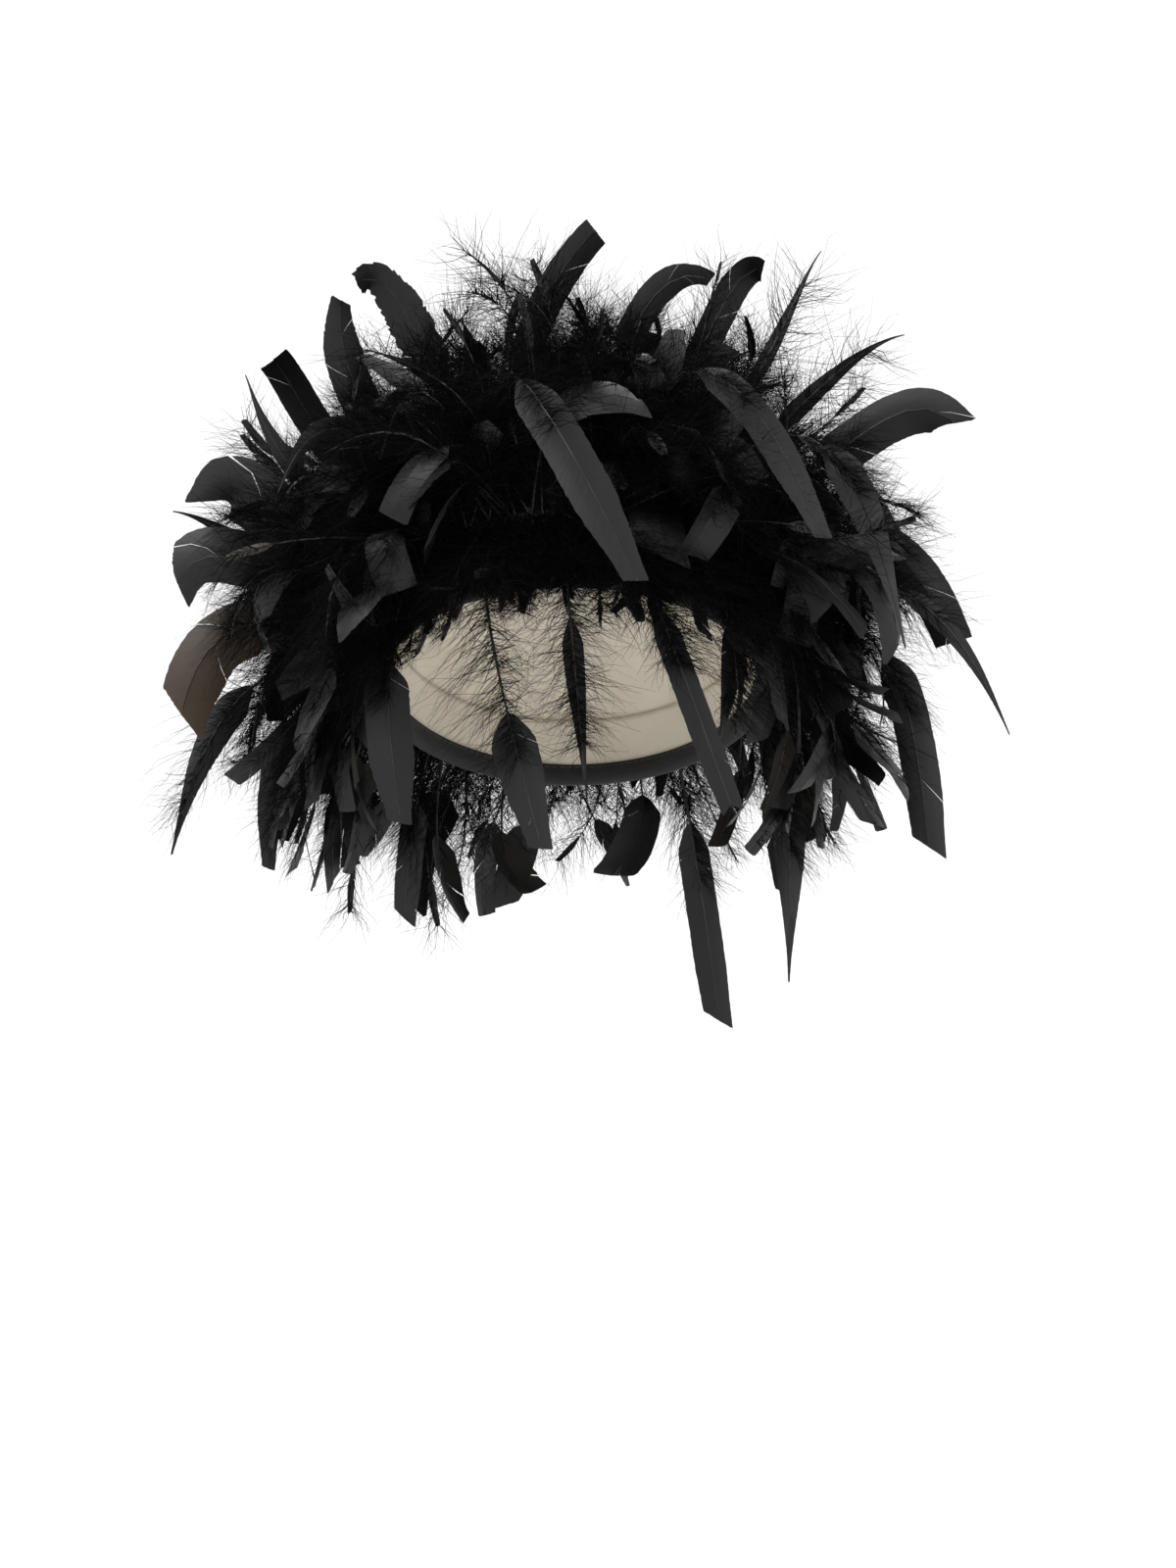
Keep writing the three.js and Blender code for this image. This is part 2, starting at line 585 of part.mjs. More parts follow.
/** The room that a feather needs, in the crown's own frame. */
function featherRoom(feather, hangs) {
  const { tie } = featherCourse(feather, hangs);
  const room = featherBody(feather, hangs, QUILL_CHANNEL);
  room.translate(tie.x, tie.y, tie.z);
  room.applyQuaternion(crownTurn.clone().invert());
  return toSolid(room);
}

/** A feather's mesh, placed by the point where it is tied. */
function featherPart(feather, hangs) {
  const mesh = part(feather.name, featherBody(feather, hangs), FEATHER_BLACK);
  mesh.position.copy(featherCourse(feather, hangs).tie);
  return mesh;
}

/** The cap, in its own upright frame. */
function buildCap() {
  const cap = new THREE.Group();
  const holes = TACKS.map((tack) => toSolid(tackStitch(tack, THREAD_RADIUS + THREAD_CLEARANCE)));
  for (let number = 0; number < GORE_COUNT; number += 1) {
    cap.add(part(`cap_gore_${number + 1}`, cutBy(gore(number), holes), CAP_BLACK));
  }
  cap.add(part('crown_button', crownButton(), CAP_BLACK));
  cap.add(part('lining', liningShell(), SATIN_IVORY));
  cap.add(part('sweatband', sweatband(), RIBBON_IVORY));
  cap.add(part('rim_binding', rimBinding(), CAP_BLACK));
  const wire = rod(new WireRoute(), WIRE_RADIUS, WIRE_CURVE_SEGMENTS, WIRE_STEPS);
  cap.add(part('brim_wire', wire, WIRE_STEEL));
  const nape = crownPoint(RIM_ANGLE, 180, WIRE_OFFSET).setZ(WIRE_HEIGHT);
  const joinerInside = WIRE_RADIUS + JOINER_CLEARANCE;
  const across = new THREE.Vector3(1, 0, 0);
  const joiner = sleeve(nape, across, joinerInside, joinerInside + JOINER_WALL, JOINER_LENGTH);
  cap.add(part('wire_joiner', joiner, WIRE_STEEL));
  return cap;
}

/** The boa's cord, its stitches and the down round it, in the cap's frame. */
function buildBoa() {
  const boa = new THREE.Group();
  const cord = rod(new CordRoute(), CORD_RADIUS, CORD_CURVE_SEGMENTS, CORD_STEPS);
  boa.add(part('boa_cord', cord, CORD_BLACK));
  boa.add(part('start_whipping', whipping(0, 1), THREAD_BLACK));
  boa.add(part('end_whipping', whipping(CORD_STEPS, CORD_STEPS - 1), THREAD_BLACK));
  TACKS.forEach((tack, i) => {
    boa.add(part(`tack_stitch_${i + 1}`, tackStitch(tack, THREAD_RADIUS), THREAD_BLACK));
  });
  const rooms = [
    ...HANGING_FEATHERS.map((feather) => featherRoom(feather, true)),
    ...STANDING_FEATHERS.map((feather) => featherRoom(feather, false)),
  ];
  for (let turn = 0; turn < BOA_TURNS; turn += 1) {
    const ridge = downRidge(turn, Math.min(turn + 1, BOA_TURNS), turn === 0);
    boa.add(part(`turn_${turn + 1}_down`, cutBy(ridge, rooms), DOWN_BLACK));
  }
  return boa;
}

const crown = new THREE.Group();
crown.quaternion.copy(crownTurn);
crown.add(buildCap(), buildBoa());

const group = new THREE.Group();
group.add(crown);
HANGING_FEATHERS.forEach((feather) => group.add(featherPart(feather, true)));
STANDING_FEATHERS.forEach((feather) => group.add(featherPart(feather, false)));

export default group;
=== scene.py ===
"""A feather headdress: one black chandelle boa, coiled and sewn on a soft lined cap.

Metres, +Z up, the face towards -Y. The origin is the centre of the head opening.
"""
import logging
import math
from dataclasses import dataclass, field
from enum import Enum

import bpy
import numpy as np
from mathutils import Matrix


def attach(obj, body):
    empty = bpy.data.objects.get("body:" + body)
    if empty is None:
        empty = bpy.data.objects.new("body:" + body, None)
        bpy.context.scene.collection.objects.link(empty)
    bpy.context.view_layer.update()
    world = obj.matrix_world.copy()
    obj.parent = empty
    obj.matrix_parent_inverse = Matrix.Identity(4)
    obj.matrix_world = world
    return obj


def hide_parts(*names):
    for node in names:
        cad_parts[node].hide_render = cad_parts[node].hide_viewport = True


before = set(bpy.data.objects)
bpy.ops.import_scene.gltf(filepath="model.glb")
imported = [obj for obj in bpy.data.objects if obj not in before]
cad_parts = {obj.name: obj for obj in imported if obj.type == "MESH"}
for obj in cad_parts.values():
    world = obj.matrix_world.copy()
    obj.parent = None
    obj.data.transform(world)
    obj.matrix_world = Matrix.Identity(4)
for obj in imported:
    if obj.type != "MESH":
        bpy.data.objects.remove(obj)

LOG = logging.getLogger("headdress")
MM = 0.001
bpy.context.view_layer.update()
DOWNWARDS = np.array([0.0, 0.0, -1.0])
STEPS_PER_TURN = 24
SIDE_TO_SIDE = (-1, 1)


# --- Small geometry helpers ---------------------------------------------------------------------


def unit(vectors: np.ndarray) -> np.ndarray:
    """Vectors at length one, along the last axis."""
    return vectors / np.maximum(np.linalg.norm(vectors, axis=-1, keepdims=True), 1e-9)


def smooth(share: np.ndarray, start: float, end: float) -> np.ndarray:
    """A soft step from 0 at start to 1 at end."""
    t = np.clip((share - start) / (end - start), 0.0, 1.0)
    return t * t * (3 - 2 * t)


def between(rng: np.random.Generator, low: float, high: float) -> float:
    """One random number in a range."""
    return float(rng.uniform(low, high))


def distances(line: np.ndarray) -> np.ndarray:
    """How far along a line each of its points is."""
    return np.concatenate([[0], np.cumsum(np.linalg.norm(np.diff(line, axis=0), axis=1))])


def sampled(at: np.ndarray, places: np.ndarray, values: np.ndarray) -> np.ndarray:
    """Rows of values, taken at new places between their own."""
    return np.stack([np.interp(at, places, values[:, k]) for k in range(values.shape[1])], axis=-1)


class MeshParts:
    """Quads gathered from many small pieces, which become one mesh."""

    def __init__(self) -> None:
        """Start with nothing."""
        self.points: list[np.ndarray] = []
        self.quads: list[np.ndarray] = []
        self.grain: list[np.ndarray] = []
        self.shade: list[np.ndarray] = []
        self.finish: list[np.ndarray] = []
        self.count = 0

    def add(self, points: np.ndarray, quads: np.ndarray, grain: np.ndarray | None = None,
            finish: int = 0, shade: float = 0.5) -> None:
        """Add one piece.

        Args:
            points: its corners, one row each.
            quads: four corner numbers for each face.
            grain: two numbers for each corner, across and along its barbs or threads.
            finish: the number of the material that it takes.
            shade: how light it is, from 0 to 1: a random tone, lifted on the named feathers as painted
                sheen.
        """
        count = len(points)
        self.points.append(points)
        self.quads.append(quads + self.count)
        self.grain.append(np.zeros((count, 2)) if grain is None else grain)
        self.shade.append(np.full(count, shade))
        self.finish.append(np.full(len(quads), finish))
        self.count += count

    def add_thread(self, line: np.ndarray, radius: float, sides: int = 6, finish: int = 0) -> None:
        """Add a thread of one thickness along a line, its grain in millimetres."""
        points, quads, grain = tube(line, np.full(len(line), radius), sides)
        self.add(points, quads, grain / np.array([1, MM]), finish)

    def cover(self, name: str, node: str,
              finishes: list[bpy.types.Material]) -> bpy.types.Object:
        """Make the object in place of a node of the CAD model.

        Args:
            name: the piece's name.
            node: the node that it replaces.
            finishes: its materials, in the order of their numbers.

        Returns:
            The new object.
        """
        piece = self.build(name, finishes)
        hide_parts(node)
        return piece

    def build(self, name: str, finishes: list[bpy.types.Material]) -> bpy.types.Object:
        """Make the object.

        Args:
            name: the piece's name.
            finishes: its materials, in the order of their numbers.

        Returns:
            The new object, linked to the scene.
        """
        points = np.concatenate(self.points)
        quads = np.concatenate(self.quads)
        mesh = bpy.data.meshes.new(name)
        mesh.vertices.add(len(points))
        mesh.vertices.foreach_set("co", points.astype(np.float32).ravel())
        mesh.loops.add(quads.size)
        mesh.loops.foreach_set("vertex_index", quads.astype(np.int32).ravel())
        mesh.polygons.add(len(quads))
        mesh.polygons.foreach_set("loop_start", np.arange(0, quads.size, 4, dtype=np.int32))
        mesh.polygons.foreach_set("material_index", np.concatenate(self.finish).astype(np.int32))
        mesh.polygons.foreach_set("use_smooth", np.ones(len(quads), dtype=bool))
        grain = mesh.uv_layers.new(name="grain")
        grain.data.foreach_set("uv", np.concatenate(self.grain)[quads.ravel()].astype(np.float32).ravel())
        shade = mesh.attributes.new("shade", "FLOAT", "POINT")
        shade.data.foreach_set("value", np.concatenate(self.shade).astype(np.float32))
        mesh.update(calc_edges=True)
        mesh.validate()
        for finish in finishes:
            mesh.materials.append(finish)
        piece = bpy.data.objects.new(name, mesh)
        bpy.context.scene.collection.objects.link(piece)
        return piece


def grid_quads(rows: int, columns: int, close_rows: bool = False,
               close_columns: bool = False) -> np.ndarray:
    """The faces of a grid of points, numbered row by row.

    Args:
        rows: how many rows it has.
        columns: how many points are in a row.
        close_rows: whether the last row joins the first.
        close_columns: whether each row closes on itself.

    Returns:
        Four point numbers for each face.
    """
    row = np.arange(rows if close_rows else rows - 1)
    column = np.arange(columns if close_columns else columns - 1)
    r, c = (part.ravel() for part in np.meshgrid(row, column, indexing="ij"))
    r_next = (r + 1) % rows
    c_next = (c + 1) % columns
    corners = [r * columns + c, r * columns + c_next, r_next * columns + c_next, r_next * columns + c]
    return np.stack(corners, axis=1)


def tube(line: np.ndarray, radii: np.ndarray, sides: int) -> tuple[np.ndarray, np.ndarray, np.ndarray]:
    """A round tube along a line.

    Args:
        line: the points that it follows.
        radii: its radius at each point.
        sides: how many sides its section has.

    Returns:
        Its points, its faces and its grain: round it, and metres along it.
    """
    along = unit(np.gradient(line, axis=0))
    across = np.zeros_like(line)
    start = np.cross(along[0], [0.3, 0.5, 0.8])
    for i, direction in enumerate(along):
        start = start - direction * np.dot(start, direction)
        start = start / max(np.linalg.norm(start), 1e-9)
        across[i] = start
    third = np.cross(along, across)
    turn = np.linspace(0, 2 * math.pi, sides, endpoint=False)
    ring = np.cos(turn)[None, :, None] * across[:, None] + np.sin(turn)[None, :, None] * third[:, None]
    points = line[:, None] + ring * radii[:, None, None]
    grain = np.stack(np.broadcast_arrays(turn[None, :], distances(line)[:, None]), axis=-1)
    quads = grid_quads(len(line), sides, close_columns=True)
    return points.reshape(-1, 3), quads, grain.reshape(-1, 2)


# --- The cap's form and the boa's spiral on it ----------------------------------------------------


@dataclass(frozen=True)
class Crown:
    """The crown's ellipsoid over the head, and its tilt as worn. Angles are in degrees."""

    half_width: float = 78 * MM
    half_length: float = 98 * MM
    depth: float = 92 * MM
    tilt: float = 22
    outside: float = 5.7 * MM
    head_below: float = 7 * MM

    def point(self, angle: np.ndarray, azimuth: np.ndarray, offset: np.ndarray) -> np.ndarray:
        """A point of the crown, in its own upright frame.

        Args:
            angle: from the crown's top down.
            azimuth: 0 at the brow, +90 at the side at +X.
            offset: how far outside the head's own ellipsoid.

        Returns:
            The point or points.
        """
        a = np.radians(angle)
        t = np.radians(azimuth)
        return np.stack(np.broadcast_arrays(
            (self.half_width + offset) * np.sin(a) * np.sin(t),
            -(self.half_length + offset) * np.sin(a) * np.cos(t),
            (self.depth + offset) * np.cos(a),
        ), axis=-1)

    def radii(self) -> np.ndarray:
        """The three radii of the cap's outer cloth."""
        return np.array([self.half_width, self.half_length, self.depth]) + self.outside

    def normal(self, point: np.ndarray) -> np.ndarray:
        """The way straight out of the cap's outer cloth."""
        return unit(point / self.radii() ** 2)

    def worn(self, vectors: np.ndarray) -> np.ndarray:
        """Turn from the crown's upright frame to the wearer's, with the brow up.

        Args:
            vectors: points or directions, upright.

        Returns:
            The same, as worn.
        """
        tilt = math.radians(self.tilt)
        x, y, z = np.moveaxis(np.asarray(vectors, dtype=float), -1, 0)
        return np.stack([
            x,
            y * math.cos(tilt) + z * math.sin(tilt),
            -y * math.sin(tilt) + z * math.cos(tilt),
        ], axis=-1)

    def holds(self, points: np.ndarray) -> bool:
        """Whether any point is inside the cap, or in the head's room just below it.

        Args:
            points: points as worn.

        Returns:
            True if one is.
        """
        tilt = math.radians(self.tilt)
        x, y, z = points.T
        upright = y * math.sin(tilt) + z * math.cos(tilt)
        forth = y * math.cos(tilt) - z * math.sin(tilt)
        spread = np.stack([x, forth, np.maximum(upright, 0)]) / self.radii()[:, None]
        return bool(np.any((spread ** 2).sum(axis=0)[upright > -self.head_below] < 1))


@dataclass(frozen=True)
class BoaSpiral:
    """How the boa's cord winds up the cap."""

    crown: Crown
    turns: float = 103 / STEPS_PER_TURN
    first_angle: float = 83
    last_angle: float = 13
    cord_radius: float = 2 * MM
    cord_gap: float = 1 * MM
    tie_gap: float = 0.4 * MM
    hang_spread: float = 15

    def seat(self, turns: np.ndarray) -> np.ndarray:
        """The point under the cord on the cap, in the crown's frame."""
        angle = self.first_angle + (self.last_angle - self.first_angle) * turns / self.turns
        return self.crown.point(angle, (turns - 0.5) * 360, self.crown.outside)

    def axes(self, turns: np.ndarray) -> tuple[np.ndarray, np.ndarray, np.ndarray, np.ndarray]:
        """The boa's own axes after some turns.

        Args:
            turns: how many turns from its start at the nape.

        Returns:
            Its seat, and the ways out of the cap, along the cord and down to the rim.
        """
        step = 0.5 / STEPS_PER_TURN
        seat = self.seat(turns)
        out = self.crown.normal(seat)
        along = unit(self.seat(turns + step) - self.seat(turns - step))
        return seat, out, along, unit(np.cross(along, out))

    def cord(self, turns: np.ndarray) -> np.ndarray:
        """The cord's centre, as worn."""
        seat, out, _, _ = self.axes(turns)
        return self.crown.worn(seat + out * (self.cord_gap + self.cord_radius))

    def tie(self, turns: float, hangs: bool) -> tuple[np.ndarray, np.ndarray]:
        """Where a feather is tied and the way that its quill leaves, as worn.

        Args:
            turns: how many turns from the nape.
            hangs: whether it hangs down instead of standing out.

        Returns:
            The tie and the direction.
        """
        seat, out, _, down = self.axes(turns)
        spread = math.radians(self.hang_spread)
        first = down * math.cos(spread) + out * math.sin(spread) if hangs else out
        centre = seat + out * (self.cord_gap + self.cord_radius)
        tied = centre + first * (self.cord_radius + self.tie_gap)
        return self.crown.worn(tied), self.crown.worn(first)

    def spacing(self, pitch: float) -> np.ndarray:
        """Turn counts at an even pitch along the cord.

        Args:
            pitch: metres of cord from one to the next.

        Returns:
            The turn count of each place.
        """
        turns = np.linspace(0, self.turns, 2000)
        travelled = distances(self.cord(turns))
        return np.interp(np.arange(pitch / 2, travelled[-1], pitch), travelled, turns)


# --- Feathers ------------------------------------------------------------------------------------


class Dye(Enum):
    """A feather's colour. BLACK is its dye; GREY and BROWN are painted backlight, light through thin blades
    drawn as lighter colours. The value is the number of its material.
    """

    BLACK = 0
    GREY = 3
    BROWN = 4


DOWN_FINISH = 1
QUILL_FINISH = 2


@dataclass(frozen=True)
class Trim:
    """How the end of a blade is cut.

    tip is the end's width as a share of the blade's, taper the share of the feather's length
    where it starts to narrow, slant how far the cut leans, fray how uneven its barbs are, and
    notch how deep the end is forked.
    """

    tip: float
    taper: float
    slant: float
    fray: float
    notch: float = 0.0


class Cut(Enum):
    """The ways that a boa's feathers end."""

    SQUARE = Trim(tip=0.92, taper=0.8, slant=0.1, fray=0.02)
    SLANTED = Trim(tip=0.84, taper=0.8, slant=0.8, fray=0.02)
    BACK_SLANTED = Trim(tip=0.84, taper=0.8, slant=-0.8, fray=0.02)
    TAPERED = Trim(tip=0.5, taper=0.74, slant=0.35, fray=0.04)
    POINTED = Trim(tip=0.06, taper=0.52, slant=0.0, fray=0.04)
    FORKED = Trim(tip=0.8, taper=0.8, slant=0.1, fray=0.05, notch=0.9)
    FRAYED = Trim(tip=0.6, taper=0.7, slant=0.2, fray=0.14)


@dataclass(frozen=True)
class FeatherForm:
    """One feather's sizes. Shares are of its length, from the tie; shoulder is how soon it is wide."""

    width: float
    cut: Cut = Cut.SQUARE
    dye: Dye = Dye.BLACK
    blade_start: float = 0.40
    shoulder: float = 0.1
    rows: int = 40
    down_until: float = 0.58
    down_length: float = 24 * MM
    down_count: int = 170
    camber: float = 26 * MM
    splits: int = 1
    quill_sides: int = 6
    hair_steps: int = 4
    # The range of a feather's random tone; the named feathers' higher range is painted sheen.
    shades: tuple[float, float] = (0.0, 0.75)


@dataclass
class Course:
    """A quill's line, with the side and flat directions of its blade at even steps.

    away is the way out of the cap at its tie, which its down keeps to.
    """

    points: np.ndarray
    along: np.ndarray
    sides: np.ndarray
    flats: np.ndarray
    length: float
    away: np.ndarray

    @classmethod
    def curved(cls, controls: np.ndarray, look: np.ndarray, away: np.ndarray, twist: float = 0.0,
               steps: int = 48) -> "Course":
        """Make a course from a cubic curve.

        Args:
            controls: the curve's four points.
            look: the way that the blade's flat side looks.
            away: the way out of the cap at its tie.
            twist: degrees that the blade turns from the tie to the tip.
            steps: how many points it is kept at.

        Returns:
            The course.
        """
        t = np.linspace(0, 1, 160)[:, None]
        a, b, c, d = controls
        fine = (1 - t) ** 3 * a + 3 * (1 - t) ** 2 * t * b + 3 * (1 - t) * t ** 2 * c + t ** 3 * d
        travelled = distances(fine)
        points = sampled(np.linspace(0, travelled[-1], steps), travelled, fine)
        along = unit(np.gradient(points, axis=0))
        middle = steps // 2
        side = np.cross(along[middle], look)
        sides = np.zeros_like(points)
        for i in [*range(middle, steps), *range(middle - 1, -1, -1)]:
            if i == middle - 1:
                side = sides[middle]
            side = side - along[i] * np.dot(side, along[i])
            side = side / max(np.linalg.norm(side), 1e-9)
            sides[i] = side
        flats = np.cross(sides, along)
        turn = np.radians(twist) * np.linspace(-0.5, 0.5, steps)[:, None]
        turned = sides * np.cos(turn) + flats * np.sin(turn)
        return cls(points, along, turned, np.cross(turned, along), float(travelled[-1]), away)

    def at(self, shares: np.ndarray) -> tuple[np.ndarray, np.ndarray, np.ndarray, np.ndarray]:
        """The point, and the ways along, aside and out of the flat, at shares of the length.

        Args:
            shares: shares of the length, past 1 beyond the tip.

        Returns:
            The four, a row for each share.
        """
        steps = np.linspace(0, 1, len(self.points))
        point, along, aside, flat = (
            sampled(shares, steps, values) for values in (self.points, self.along, self.sides, self.flats))
        past = np.maximum(shares - 1, 0)[..., None] * self.length
        return point + past * self.along[-1], along, aside, flat


@dataclass
class FeatherMaker:
    """Makes a feather barb by barb: a blade, the down below it and the quill.

    rng makes the small differences between feathers. side_widths is how far a blade's two sides
    may differ, barb_reach the longest barb in blade widths, barb_wear how unevenly the barbs
    end, split_lift how far a split stands off and barb_relief how far every other barb does.
    The hair numbers are those of the down: hair_spread, hair_forward and hair_lengths say how
    the hairs leave the quill, hair_bend, hair_wander, hair_sag and hair_ripple how they curve.
    """

    rng: np.random.Generator
    quill_radius: float = 0.75 * MM
    quill_tip_radius: float = 0.16 * MM
    quill_end: float = 0.97
    quill_taper: float = 1.15
    side_widths: tuple[float, float] = (0.85, 1.15)
    barb_columns: int = 4
    barb_lean: tuple[float, float] = (60, 26)
    barb_reach: float = 3.2
    barb_wear: float = 0.02
    barb_relief: float = 0.05 * MM
    split_angle: float = 0.8
    split_lift: float = 0.35 * MM
    hair_width: float = 0.34 * MM
    hair_taper: float = 0.8
    hair_spread: float = 0.55
    hair_forward: tuple[float, float] = (0.35, 1.1)
    hair_lengths: tuple[float, float] = (0.55, 1.15)
    hair_bend: float = 0.7
    hair_wander: float = 0.6
    hair_sag: float = 0.3
    hair_ripple: float = 0.09
    hair_waves: float = 7
    turned_out: float = 1.2

    def add(self, parts: MeshParts, course: Course, form: FeatherForm) -> None:
        """Add one whole feather to a mesh.

        Args:
            parts: the mesh that it joins.
            course: its quill's line.
            form: its sizes.
        """
        # A random tone for each feather; lifted on the named feathers, it is painted sheen.
        shade = between(self.rng, *form.shades)
        for side in SIDE_TO_SIDE:
            self._blade(parts, course, form, side, shade)
        self._down(parts, course, form, shade)
        self._quill(parts, course, shade, form.quill_sides)

    def _half_width(self, form: FeatherForm, share: np.ndarray, lean: float) -> np.ndarray:
        """Half of the blade's width at a share of the length, on one side of the quill.

        Args:
            form: the feather's sizes.
            share: shares of the length.
            lean: how much wider this side is.

        Returns:
            The half widths.
        """
        trim = form.cut.value
        opened = smooth(share, form.blade_start - 0.04, form.blade_start + form.shoulder)
        closed = smooth(share, trim.taper, 1.02)
        half = form.width / 2 * lean
        return half * opened * (1 + (trim.tip - 1) * closed)

    def _blade(self, parts: MeshParts, course: Course, form: FeatherForm, side: int, shade: float) -> None:
        """One side of the blade, its barbs zipped into a sheet with a few splits.

        Args:
            parts: the mesh that it joins.
            course: the quill's line.
            form: the feather's sizes.
            side: -1 or 1, the side of the quill.
            shade: how light it is: a random tone, with painted sheen on the named feathers.
        """
        rng = self.rng
        trim = form.cut.value
        rows = form.rows
        lean = between(rng, *self.side_widths)
        roots = np.linspace(form.blade_start, 1.0, rows)
        angles = np.radians(np.linspace(*self.barb_lean, rows))
        groups = np.sort(rng.choice(np.arange(2, rows - 2), size=form.splits, replace=False))
        group = np.searchsorted(groups, np.arange(rows), side="right")
        roots[groups] = roots[groups - 1]
        angles[groups] = angles[groups - 1]
        angles = angles - group * math.radians(self.split_angle)
        reach = np.linspace(0, form.width * self.barb_reach, 400)[None, :]
        away = reach * np.sin(angles)[:, None]
        ahead = roots[:, None] + reach * np.cos(angles)[:, None] / course.length
        slanted = trim.slant * side * away / course.length
        edge = 1 - slanted - trim.notch * (form.width / 2 - away) / course.length
        inside = (away <= self._half_width(form, ahead, lean)) & (ahead <= edge)
        inside[:, 0] = True
        kept = np.cumprod(inside, axis=1).sum(axis=1) - 1
        frayed = 1 - trim.fray * rng.random(rows) ** 2
        lengths = reach[0, kept] * frayed * (1 - self.barb_wear * rng.random(rows))
        share = np.linspace(0, 1, self.barb_columns)
        out = lengths[:, None] * share[None, :]
        away = out * np.sin(angles)[:, None]
        ahead = roots[:, None] + out * np.cos(angles)[:, None] / course.length
        point, _, aside, flat = course.at(ahead)
        lifted = rng.normal(0, self.split_lift, form.splits + 1)[group][:, None] * share[None, :]
        relief = np.where(np.arange(rows) % 2, self.barb_relief, -self.barb_relief)
        lifted = lifted + relief[:, None] * share[None, :]
        bowed = lifted - away ** 2 / (2 * form.camber)
        points = point + aside * (side * away)[..., None] + flat * bowed[..., None]
        quads = grid_quads(rows, self.barb_columns)
        split = np.isin(quads[:, 0] // self.barb_columns, groups - 1)
        grain = np.stack(np.broadcast_arrays(np.arange(rows)[:, None] * 1.0, out / MM), axis=-1)
        parts.add(points.reshape(-1, 3), quads[~split], grain.reshape(-1, 2), form.dye.value, shade)

    def _down(self, parts: MeshParts, course: Course, form: FeatherForm, shade: float) -> None:
        """The loose hairs of the quill's lower part, each a fine tapered ribbon.

        Args:
            parts: the mesh that it joins.
            course: the quill's line.
            form: the feather's sizes.
            shade: how light it is: a random tone, with painted sheen on the named feathers.
        """
        rng = self.rng
        count = form.down_count
        roots = form.down_until * rng.random(count) ** 0.85 + 0.02
        point, along, aside, flat = course.at(roots)
        side = np.where(np.arange(count) % 2, 1.0, -1.0)
        tilt = rng.normal(0, self.hair_spread, count)
        sideways = unit(aside * (side * np.cos(tilt))[:, None] + flat * np.sin(tilt)[:, None])
        forward = rng.uniform(*self.hair_forward, count)[:, None]
        first = self._outwards(unit(sideways + along * forward), course.away)
        length = form.down_length * rng.uniform(*self.hair_lengths, count)
        length = length * (1 - 0.35 * smooth(roots, form.down_until * 0.6, form.down_until))
        steps = np.linspace(0, 1, form.hair_steps)
        wander = rng.normal(0, self.hair_wander, (count, 3))
        bend = unit(along * self.hair_bend + wander + DOWNWARDS * self.hair_sag)
        bend = self._outwards(bend, course.away)
        ripple = rng.normal(0, self.hair_ripple, (count, 3))
        phase = rng.uniform(0, 2 * math.pi, count)
        wave = np.sin(steps[None, :] * self.hair_waves + phase[:, None]) - np.sin(phase)[:, None]
        line = point[:, None] + length[:, None, None] * (
            first[:, None] * steps[None, :, None]
            + bend[:, None] * (self.hair_bend * steps[None, :, None] ** 2)
            + ripple[:, None] * wave[..., None])
        width = self.hair_width * (1 - self.hair_taper * steps)[None, :, None]
        across = unit(np.cross(first, rng.normal(0, 1, (count, 3))))[:, None] * width / 2
        points = np.stack([line - across, line + across], axis=2)
        ribbon = grid_quads(form.hair_steps, 2)
        starts = np.arange(count)[:, None, None] * (2 * form.hair_steps)
        parts.add(points.reshape(-1, 3), (ribbon[None] + starts).reshape(-1, 4), None, DOWN_FINISH, shade)

    def _outwards(self, ways: np.ndarray, away: np.ndarray) -> np.ndarray:
        """Turn the ways that point into the cap until they point a little out of it."""
        inwards = np.minimum(ways @ away, 0)
        return unit(ways - self.turned_out * inwards[:, None] * away)

    def _quill(self, parts: MeshParts, course: Course, shade: float, sides: int) -> None:
        """The quill, round at the tie and fine at the tip.

        Args:
            parts: the mesh that it joins.
            course: the quill's line.
            shade: how light it is: a random tone, with painted sheen on the named feathers.
            sides: how many sides its section has.
        """
        shares = np.linspace(0, self.quill_end, 12)
        line = course.at(shares)[0]
        radii = self.quill_radius * (1 - shares) ** self.quill_taper + self.quill_tip_radius
        points, quads, grain = tube(line, radii, sides)
        parts.add(points, quads, grain, QUILL_FINISH, shade)


class Look(Enum):
    """Where the flat side of a blade looks."""

    FRONT = (0.0, -1.0, 0.1)
    FRONT_AND_UP = (0.0, -1.0, 0.8)
    BACK_AND_DOWN = (0.0, 0.7, -1.0)
    UNDER = (0.0, 0.3, -1.0)


